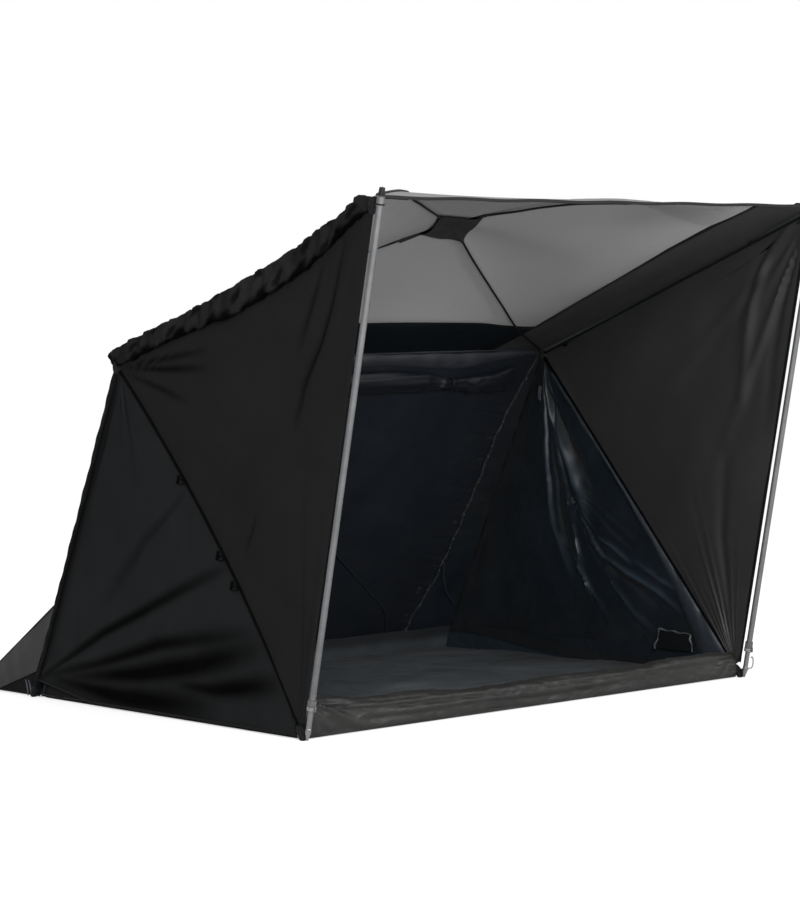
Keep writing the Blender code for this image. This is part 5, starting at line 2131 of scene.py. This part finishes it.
@dataclass
class GroundTray:
    """The groundsheet, its tray walls, the front sill and the front corner gussets."""

    loom: Loom
    sill: float = 0.140
    tray: float = 0.118
    tray_low: float = 0.0015
    tray_hem: float = 0.006

    def build(self) -> None:
        """Makes every piece of the tray."""
        self.build_floor()
        self.build_sill()
        for side in Side:
            self.build_side(side)
        self.build_rear()

    def build_floor(self) -> None:
        """Makes the groundsheet, with its soft rucks."""
        half = SIZES.half_width - 0.012

        def floor(u: Array, v: Array) -> Array:
            """Returns the floor with its rucks."""
            x = (2.0 * u - 1.0) * half
            y = -1.012 + 2.022 * v
            rucks = (0.008 + 0.0065 * np.sin(5.1 * x + 2.2 * y) * np.sin(1.3 * x - 4.3 * y + 1.0)
                     + 0.004 * np.sin(9.0 * y + 3.0 * x))
            return np.stack([x, y, 0.0025 + rucks], axis=-1)

        def painted_shading_map(u: Array, v: Array) -> Array:
            """Paints shade along the floor's sides and rear, by the walls, and darkens some soft
            patches.
            """
            edge = np.minimum(np.minimum(u, 1.0 - u) * 1.2, 1.0 - v)
            patches = np.sin(9.0 * u + 4.0 * v) * np.sin(7.0 * v - 3.0 * u + 1.0)
            return np.maximum(0.80 * smooth(0.26 - edge, 0.0, 0.26),
                              0.45 * smooth(patches, -0.1, 0.8))
        self.loom.weave(Sheet(
            "ground_sheet", floor, 130, 112, "floor_cloth", (0.0, 0.0, 1.0),
            (Billow(0.26, 0.0045, 81), Billow(0.09, 0.0009, 82),
             Fold(((-0.9, -0.7, 0.0), (0.0, -0.45, 0.0), (0.9, -0.35, 0.0)), 0.026, 0.012, 0.4),
             Fold(((-0.4, 0.1, 0.0), (0.3, 0.3, 0.0), (1.0, 0.32, 0.0)), 0.022, 0.010, 0.4),
             Fold(((0.2, 0.75, 0.0), (0.5, 0.1, 0.0), (0.7, -0.6, 0.0)), 0.026, 0.009, 0.4),
             Fold(((-0.8, 0.8, 0.0), (-0.2, 0.2, 0.0), (-0.1, -0.6, 0.0)), 0.024, 0.009, 0.4)),
            (0.02, 0.02, 0.02, 0.02), replaces=("floor",), slot="floor_cloth", hold=Hold.LAID,
            tone=painted_shading_map))

    def build_sill(self) -> None:
        """Makes the soft front sill, which rolls back over its top."""
        half = SIZES.half_width - 0.016
        outline = np.array([(-1.0215, 0.003), (-1.026, 0.030), (-1.030, 0.070), (-1.026, 0.105),
                            (-1.012, 0.130), (-0.990, 0.140), (-0.965, 0.134), (-0.950, 0.112),
                            (-0.946, 0.085)])
        gone = np.concatenate([[0.0], np.cumsum(np.hypot(*np.diff(outline, axis=0).T))])
        along_x = (1.0, 0.0, 0.0)

        def sill(u: Array, v: Array) -> Array:
            """Returns the sill, which is higher at its ends."""
            x = (2.0 * u - 1.0) * half
            y = np.interp(v * gone[-1], gone, outline[:, 0])
            z = np.interp(v * gone[-1], gone, outline[:, 1])
            top = np.interp(x, [-1.17, -1.095, -0.90, -0.60, -0.29, 0.14, 0.60, 0.89, 1.05, 1.17],
                            [0.172, 0.162, 0.132, 0.120, 0.104, 0.108, 0.106, 0.122, 0.115, 0.11])
            y = y + 0.005 * np.sin(7.0 * x + 0.5) * np.sin(np.pi * v)
            ends = smooth(1.0 - np.abs(2.0 * u - 1.0), 0.0, 0.06)
            y = y * ends + (1.0 - ends) * np.minimum(y, -1.000)
            return np.stack([x, y, 0.003 + (z - 0.003) * top / self.sill], axis=-1)
        # painted shade along the sill's front foot, by the ground
        self.loom.weave(Sheet(
            "sill_sheet", sill, 260, 48, "sill_cloth", (0.0, -1.0, 0.3),
            (Billow(0.30, 0.003, 91), Billow(0.070, 0.0030, 92, along_x, 7.0),
             Billow(0.030, 0.0010, 94, along_x, 7.0),
             Fold(((-1.1, -1.02, 0.095), (-0.5, -1.02, 0.080), (0.2, -1.02, 0.065)), 0.012, 0.007,
                  0.6),
             Fold(((-0.9, -1.02, 0.045), (0.0, -1.02, 0.040), (0.9, -1.02, 0.055)), 0.012, 0.006,
                  0.6),
             Fold(((0.0, -1.02, 0.085), (0.5, -1.02, 0.075), (1.1, -1.02, 0.080)), 0.011, 0.006,
                  0.5),
             Fan((-1.17, -1.02, 0.15), (-0.85, -1.02, 0.03), 44.0, 5.0, 0.42, 0.010, 0.5, 0.7),
             Fan((1.17, -1.02, 0.11), (0.8, -1.02, 0.05), 40.0, 4.0, 0.45, 0.008, 0.9, 0.6)),
            (0.0, 0.0, 0.06, 0.0), replaces=("sill_front",), slot="floor_cloth",
            rests_on=("ground_sheet",), tone=lambda u, v: 0.7 * smooth(0.16 - v, 0.0, 0.16)))

    def build_side(self, side: Side) -> None:
        """Makes one side of the tray and the pale gusset along the front rafter.

        Args:
            side: the side of the tent.
        """
        sign, label = side.value, side.label

        def tray(u: Array, v: Array) -> Array:
            """Returns the low wall of the tray."""
            z = self.tray_low + (self.tray - self.tray_hem) * v * (1.0 + 0.05 * np.sin(9.0 * u))
            low = SIZES.front_y + 0.045 + z * SIZES.front_lean
            high = SIZES.rear_y - 0.026 - z * SIZES.rear_lean
            x = SIZES.half_width - 0.014 - 0.016 * v - 0.012 * smooth(u, 0.96, 1.0)
            return np.stack([sign * x, low + (high - low) * u, z], axis=-1)

        def painted_shading_map(u: Array, v: Array) -> Array:
            """Paints shade on a band that rises from low at the front to the top at the rear, and
            paints light below it at the rear, like the lit floor.
            """
            edge = 0.95 * smooth(u, 0.30, 1.0)
            return 0.95 * np.exp(-(np.maximum(v - edge, 0.0) / 0.42) ** 4) - 1.22 * smooth(
                edge - v, 0.0, 0.30)
        self.loom.weave(Sheet(
            f"tray_sheet_{label}", tray, 110, 16, "wall_lining", (-sign, 0.0, 0.0),
            (Billow(0.3, 0.003, 95), Billow(0.09, 0.0012, 96)), (0.02, 0.02, 0.05, 0.0),
            replaces=(f"tray_{label}",), slot="floor_cloth", rests_on=("ground_sheet",),
            lining="skirt_cloth", tone=painted_shading_map))

        def gusset(u: Array, v: Array) -> Array:
            """Returns the gusset, wider near the ground."""
            rafter = SIZES.front_rafter(side, 0.035 + 0.90 * v)
            width = 0.020 + 0.165 * (1.0 - v) ** 4
            places = rafter + np.array([0.0, 1.0, 0.0]) * (width * u)[:, None]
            places[:, 0] -= sign * (0.0105 + 0.016 * np.sin(np.pi * u) * (1.0 - v))
            return places
        self.loom.weave(Sheet(
            f"gusset_sheet_{label}", gusset, 14, 120, "gusset_cloth", (-sign, 0.0, 0.0),
            (Billow(0.2, 0.003, 97), Billow(0.06, 0.0008, 98)), (0.05, 0.05, 0.02, 0.02),
            slot="floor_cloth", rests_on=(f"front_sleeve_{label}", "sill_sheet"),
            tone=lambda u, v: 0.8 * smooth(u, 0.80, 1.0)))

    def build_rear(self) -> None:
        """Makes the rear wall of the tray."""
        def tray(u: Array, v: Array) -> Array:
            """Returns the low rear wall of the tray."""
            z = self.tray_low + (self.tray - self.tray_hem) * v
            x = (2.0 * u - 1.0) * (SIZES.half_width - 0.018)
            return np.stack([x, SIZES.rear_y - 0.028 - z * SIZES.rear_lean, z], axis=-1)
        # painted shade over the whole rear wall of the tray, deepest towards its top
        self.loom.weave(Sheet(
            "tray_sheet_rear", tray, 110, 12, "floor_cloth", (0.0, -1.0, 0.0),
            (Billow(0.3, 0.003, 99),), (0.02, 0.02, 0.05, 0.0), replaces=("tray_rear",),
            slot="floor_cloth", rests_on=("ground_sheet",),
            tone=lambda u, v: 0.45 + 0.55 * smooth(v, 0.30, 0.75)))


@dataclass
class InnerTrim:
    """The loops, tabs and the small pocket sewn to the inside of each side wall."""

    loom: Loom
    walls: dict[Side, SideWalls]

    def build(self) -> None:
        """Makes the trim of both sides."""
        for side in Side:
            self.build_pocket(side)
            self.build_tabs(side)

    def build_pocket(self, side: Side) -> None:
        """Makes the low mesh pocket and its pale binding.

        Args:
            side: the side of the tent.
        """
        sign, label = side.value, side.label
        inner = SIZES.half_width - 0.040
        corners = ((-0.555, 0.100), (-0.588, 0.190), (-0.785, 0.176), (-0.792, 0.100))

        def pocket(u: Array, v: Array) -> Array:
            """Returns the pocket, which bulges inwards."""
            low = mix(np.array([0.0, *corners[0]]), np.array([0.0, *corners[3]]), u)
            high = mix(np.array([0.0, *corners[1]]), np.array([0.0, *corners[2]]), u)
            places = mix(low, high, v)
            bulge = 0.014 * np.sin(np.pi * u) * (0.5 + 0.5 * v)
            places[:, 0] = sign * (inner - bulge)
            return places
        sheet = self.loom.weave(Sheet(
            f"pocket_sheet_{label}", pocket, 20, 12, "mesh_cloth", (-sign, 0.0, 0.0), (),
            (0.1, 0.1, 0.1, 0.1), slot="black_cloth", rests_on=(f"wall_sheet_{label}",)))
        route = polyline([(sign * (inner - 0.004), y, z) for y, z in corners])
        share = np.linspace(0.0, 1.0, 60)
        line = route(share) + np.stack([-sign * (0.010 + 0.004 * np.sin(share * 31.0)),
                                        0.002 * np.sin(share * 47.0),
                                        0.003 * np.sin(share * 29.0)], axis=-1)
        thick = 0.0040 * (1.0 + 0.35 * np.sin(share * 23.0 + 1.0))
        sheet.sew(self.loom.tube(f"pocket_binding_{label}", line, thick, "pale_tape",
                                           "black_cloth"))

    def build_tabs(self, side: Side) -> None:
        """Makes the pale hanging loop near the ridge and the tie tab on the rafter.

        Args:
            side: the side of the tent.
        """
        sign, label = side.value, side.label
        inner = SIZES.half_width - 0.030
        wall = self.walls[side].sheets["wall"]
        loop = polyline([(sign * inner, 0.200, 1.300), (sign * (inner - 0.006), 0.203, 1.270),
                         (sign * (inner - 0.004), 0.206, 1.235)])
        wall.sew(self.loom.tape(
            f"hanging_loop_{label}", tape_along(loop, np.array([0.0, 0.95, 0.3]), 0.020,
                                                np.zeros(3)), 0.020, "pale_tape", rows=10,
            thickness=0.003))
        start = SIZES.front_rafter(side, np.array([0.500]))[0]
        end = SIZES.front_rafter(side, np.array([0.452]))[0]
        off = np.array([-sign * 0.0145, 0.004, 0.0])
        tab = polyline([tuple(start + off), tuple(end + off)])
        wall.sew(self.loom.tape(
            f"tie_tab_{label}", tape_along(tab, np.array([0.0, 0.75, -0.66]), 0.012, np.zeros(3)),
            0.012, "pale_tape", rows=10, thickness=0.003))


@dataclass
class FrameFittings:
    """The corner pockets, the posts' clamps, caps and feet, and the peg at the right foot."""

    loom: Loom

    def pocket(self, name: str, centre: Array, heading: Array, length: float, width: float,
               node: str) -> Object:
        """Makes a padded cloth corner pocket.

        Args:
            name: the piece's name.
            centre: the middle of the pocket.
            heading: the way that its long side runs.
            length: its length.
            width: its width.
            node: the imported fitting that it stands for.

        Returns:
            The pocket.
        """
        deselect()
        bpy.ops.mesh.primitive_cube_add(size=1.0, location=(0.0, 0.0, 0.0))
        obj = bpy.context.active_object
        bpy.ops.object.mode_set(mode="EDIT")
        bpy.ops.mesh.select_all(action="SELECT")
        bpy.ops.mesh.subdivide(number_cuts=3)
        bpy.ops.transform.tosphere(value=0.72)
        bpy.ops.transform.resize(value=(width, width * 0.8, length))
        bpy.ops.object.mode_set(mode="OBJECT")
        for vertex in obj.data.vertices:
            pinch = 1.0 - 0.30 * (vertex.co.z / length + 0.5)
            vertex.co.x *= pinch
            vertex.co.y *= pinch
        stand(obj, centre, heading)
        rounder = obj.modifiers.new("round", "SUBSURF")
        rounder.levels = rounder.render_levels = 2
        freeze(obj)
        bpy.ops.object.shade_smooth()
        return self.loom.finish_piece(obj, name, "webbing", "frame_black", (node,))

    def ring(self, name: str, centre: Array, axis: Array, radius: float, wire: float,
             finish: str) -> Object:
        """Makes a ring round an axis.

        Args:
            name: the piece's name.
            centre: its middle.
            axis: the direction through it.
            radius: its radius.
            wire: how thick it is, as a radius.
            finish: its finish.

        Returns:
            The ring.
        """
        deselect()
        bpy.ops.mesh.primitive_torus_add(major_radius=radius, minor_radius=wire,
                                         major_segments=32, minor_segments=10)
        obj = bpy.context.active_object
        stand(obj, centre, axis)
        bpy.ops.object.shade_smooth()
        return self.loom.finish_piece(obj, name, finish, "frame_black")

    @staticmethod
    def post_axis(side: Side) -> tuple[Array, Array, Array]:
        """Finds how the post stands.

        Args:
            side: the side of the post.

        Returns:
            The foot, the direction upwards and the direction to the front.
        """
        foot, awning, ridge = (SIZES.front_foot(side), SIZES.awning(side), SIZES.ridge(side))
        up = unit(awning - foot)
        back = (ridge - foot) - up * ((ridge - foot) @ up)
        forwards = -unit(back)
        axis = foot + forwards * 0.036
        tip = axis - up * (axis[2] / up[2])
        return tip, up, forwards

    def build(self) -> None:
        """Makes the fittings of both sides, and the hook at the right foot."""
        for side in Side:
            label = side.label
            tip, up, forwards = self.post_axis(side)
            front = SIZES.front_rafter(side, np.array([0.03]))[0] - SIZES.front_foot(side)
            rear = SIZES.ridge(side) - SIZES.rear_foot(side)
            self.pocket(f"front_pocket_{label}", SIZES.front_foot(side) + [0, 0.004, 0.006],
                        unit(front), 0.060, 0.034, f"front_corner_{label}")
            self.pocket(f"rear_pocket_{label}", SIZES.rear_foot(side) + [0, -0.004, 0.006],
                        unit(rear), 0.060, 0.034, f"rear_corner_{label}")
            self.pocket(f"ridge_pocket_{label}", SIZES.ridge(side) + [0, 0.0, -0.004],
                        unit(np.array([0.0, 0.35, 0.94])), 0.052, 0.040, f"ridge_corner_{label}")
            self.pocket(f"awning_pocket_{label}", SIZES.awning(side) + [0, 0.006, -0.008],
                        -unit(up), 0.060, 0.036, f"awning_corner_{label}")
            self.build_clamp(side, tip, up, forwards)
            self.build_strap(side, tip, up)
        self.build_peg(Side.RIGHT)

    def build_clamp(self, side: Side, tip: Array, up: Array, forwards: Array) -> None:
        """Makes the clamp where the leg slides in the tube, with its two raised rings.

        Args:
            side: the side of the post.
            tip: the post's foot.
            up: the direction along the post.
            forwards: the direction to the front.
        """
        label = side.label
        deselect()
        bpy.ops.mesh.primitive_cylinder_add(vertices=40, radius=0.0172, depth=0.044)
        obj = bpy.context.active_object
        bpy.ops.object.mode_set(mode="EDIT")
        bpy.ops.mesh.select_mode(type="FACE")
        bpy.ops.mesh.select_all(action="DESELECT")
        bpy.ops.object.mode_set(mode="OBJECT")
        for face in obj.data.polygons:
            face.select = abs(face.normal.z) > 0.9
        bpy.ops.object.mode_set(mode="EDIT")
        bpy.ops.mesh.select_mode(type="FACE")
        bpy.ops.mesh.inset(thickness=0.0045)
        bpy.ops.mesh.delete(type="FACE")
        bpy.ops.mesh.select_mode(type="EDGE")
        bpy.ops.mesh.select_non_manifold()
        bpy.ops.mesh.bridge_edge_loops()
        turn_outwards()
        edges = obj.modifiers.new("edges", "BEVEL")
        edges.width = 0.0014
        edges.segments = 3
        middle = tip + up * 0.1435
        stand(obj, middle, up)
        freeze(obj)
        bpy.ops.object.shade_smooth_by_angle(angle=math.radians(40.0))
        self.loom.finish_piece(obj, f"post_clamp_{label}", "clamp_grey", "frame_black",
                               (f"post_collar_{label}",))
        ring = self.ring(f"clamp_ring_{label}_0", tip + up * 0.128, up, 0.0170, 0.0020,
                         "clamp_pale")
        self.loom.copy(ring, f"clamp_ring_{label}_1", up * 0.007, "frame_black")
        aside = np.cross(up, forwards)
        root = middle + forwards * 0.0165
        lever = np.array([root + aside * 0.004, root + forwards * 0.006 - up * 0.006,
                          root + forwards * 0.008 - up * 0.018])
        self.loom.tube(f"clamp_lever_{label}", lever, [0.0045, 0.0050, 0.0038], "clamp_grey",
                       "frame_black")

    def build_strap(self, side: Side, tip: Array, up: Array) -> None:
        """Makes the lashing that holds the awning's corner to the top of the post.

        Args:
            side: the side of the post.
            tip: the post's foot.
            up: the direction along the post.
        """
        label = side.label
        awning = SIZES.awning(side)
        high = tip + up * (float((awning - tip) @ up) + 0.004)
        self.ring(f"post_lashing_{label}", high, up, 0.0150, 0.0030, "webbing")
        middle = (high + awning) / 2.0
        line = np.array([awning + [0.0, -0.004, 0.004], middle + [0.0, 0.0, 0.006], high])
        self.loom.tube(f"corner_strap_{label}", line, 0.0050, "webbing", "black_cloth")
        crown = tip + up * (float((awning - tip) @ up) + 0.0365)
        hood = np.array([crown, crown + up * 0.015, crown + up * 0.029])
        self.loom.tube(f"post_hood_{label}", hood, [0.0128, 0.0122, 0.0108], "moulded_black",
                       "frame_black")
        low = SIZES.front_foot(side)
        near = tip + up * 0.040
        line = np.array([low + [0.0, -0.010, 0.004], (low + near) / 2.0 + [0.0, 0.0, 0.006], near])
        self.loom.tube(f"foot_strap_{label}", line, 0.0048, "webbing", "black_cloth")

    def build_peg(self, side: Side) -> None:
        """Makes the peg hook with its two loops beside the front foot.

        Args:
            side: the side of the foot.
        """
        sign, label = side.value, side.label
        foot = SIZES.front_foot(side)
        hook = np.array([[0.020, -0.010, 0.020], [0.045, -0.014, 0.026], [0.066, -0.018, 0.022],
                         [0.074, -0.020, 0.050], [0.070, -0.020, 0.078], [0.060, -0.020, 0.070]])
        mirror = np.array([sign, 1.0, 1.0])
        line = foot + hook * mirror - [0.0, 0.0, 0.012]
        self.loom.tube(f"peg_hook_{label}", line, 0.0032, "clamp_pale", "frame_black")
        strap = np.array([[0.0, 0.0, 0.0], [0.022, -0.006, 0.004], [0.048, -0.010, 0.008]])
        self.loom.tube(f"peg_strap_{label}", foot + strap * mirror, 0.0048, "webbing",
                       "black_cloth")


@dataclass
class Studio:
    """The camera at the photograph's place, the floor and the soft lights."""

    eye: Point = (-6.678275, -8.786054, 1.394711)
    yaw: float = 0.659645
    pitch: float = -0.032378
    roll: float = -0.034913
    lens: float = 100.0
    sensor: float = 36.0
    shift_y: float = 0.002365

    def build(self) -> None:
        """Makes the camera, the floor, the world and the lamps."""
        flat = math.cos(self.pitch)
        ahead = Vector((math.sin(self.yaw) * flat, math.cos(self.yaw) * flat,
                        math.sin(self.pitch)))
        level = Vector((math.cos(self.yaw), -math.sin(self.yaw), 0.0))
        upright = level.cross(ahead)
        right = level * math.cos(self.roll) + upright * math.sin(self.roll)
        up = upright * math.cos(self.roll) - level * math.sin(self.roll)
        data = bpy.data.cameras.new("camera")
        data.sensor_width = self.sensor
        data.lens = self.lens
        data.shift_y = self.shift_y
        camera = bpy.data.objects.new("camera", data)
        turn = Matrix((right, up, -ahead)).transposed().to_4x4()
        camera.matrix_world = Matrix.Translation(self.eye) @ turn
        bpy.context.scene.collection.objects.link(camera)
        bpy.context.scene.camera = camera
        bpy.context.scene.view_settings.view_transform = "Standard"
        self.build_floor()
        self.build_light()

    def build_floor(self) -> None:
        """Makes the plain pale floor, which fades into the background."""
        deselect()
        bpy.ops.mesh.primitive_plane_add(size=60.0, location=(0.0, 0.0, -0.001))
        floor = bpy.context.active_object
        floor.name = "studio_floor"
        material, tree, shader = new_material("studio_floor")
        seen = tree.node("LightPath").outputs["Is Camera Ray"]
        tree.feed(shader, {
            "Base Color": paint(WHITE, 0.92), "Roughness": 0.9, "Specular IOR Level": 0.1,
            "Emission Color": paint(WHITE), "Emission Strength": tree.math("MULTIPLY", seen, 0.45)})
        dress(floor, material)

    def build_light(self) -> None:
        """Makes the white surroundings, dimmer as light than as background, and the soft lamps."""
        world = bpy.data.worlds.new("studio")
        world.use_nodes = True
        tree = Tree(world.node_tree)
        shown = tree.feed(world.node_tree.nodes["Background"],
                          {"Color": paint(WHITE), "Strength": 1.0})
        light = tree.node("Background", {"Color": paint(WHITE), "Strength": 0.60})
        seen = tree.node("LightPath").outputs["Is Camera Ray"]
        both = tree.node("MixShader", {0: seen, 1: light.outputs[0], 2: shown.outputs[0]})
        tree.feed(world.node_tree.nodes["World Output"], {"Surface": both.outputs[0]})
        bpy.context.scene.world = world
        self.lamp("key", (-7.2, -10.5, 4.4), (0.1, -0.3, 0.8), 4.5, 1350.0)
        self.lamp("fill", (2.6, -9.5, 3.2), (0.2, 0.3, 0.5), 3.0, 420.0)

    @staticmethod
    def lamp(name: str, place: Point, target: Point, size: float, power: float) -> None:
        """Makes one square soft lamp aimed at a point.

        Args:
            name: its name.
            place: where it stands.
            target: what it is aimed at.
            size: the length of its side.
            power: its power in watts.
        """
        data = bpy.data.lights.new(name, "AREA")
        data.shape = "SQUARE"
        data.size = size
        data.energy = power
        obj = bpy.data.objects.new(name, data)
        aim = (Vector(target) - Vector(place)).to_track_quat("-Z", "Y")
        obj.matrix_world = Matrix.Translation(place) @ aim.to_matrix().to_4x4()
        bpy.context.scene.collection.objects.link(obj)


def dress_nodes(nodes: dict[str, Object], wardrobe: Wardrobe) -> None:
    """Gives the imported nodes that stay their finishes.

    Args:
        nodes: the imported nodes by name.
        wardrobe: every finish.
    """
    finishes = {"post_tube": "tube_metal", "post_leg": "leg_metal", "post_cap": "tube_metal",
                "apron_cord": "cord"}
    for start, finish in finishes.items():
        for side in Side:
            dress(nodes[f"{start}_{side.label}"], wardrobe.get(finish))


def main() -> None:
    """Builds the tent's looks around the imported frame."""
    logging.basicConfig(level=logging.INFO, format="%(message)s")
    for item in list(bpy.data.objects):
        bpy.data.objects.remove(item, do_unlink=True)
    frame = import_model()
    Studio().build()
    wardrobe = Wardrobe()
    loom = Loom(wardrobe)
    dress_nodes(frame["nodes"], wardrobe)
    walls = {side: SideWalls(loom, side) for side in Side}
    for wall in walls.values():
        wall.build()
    Roof(loom).build()
    Rear(loom).build()
    GroundTray(loom).build()
    InnerTrim(loom, walls).build()
    FrameFittings(loom).build()
    loom.declare()


if __name__ == "__main__":
    main()
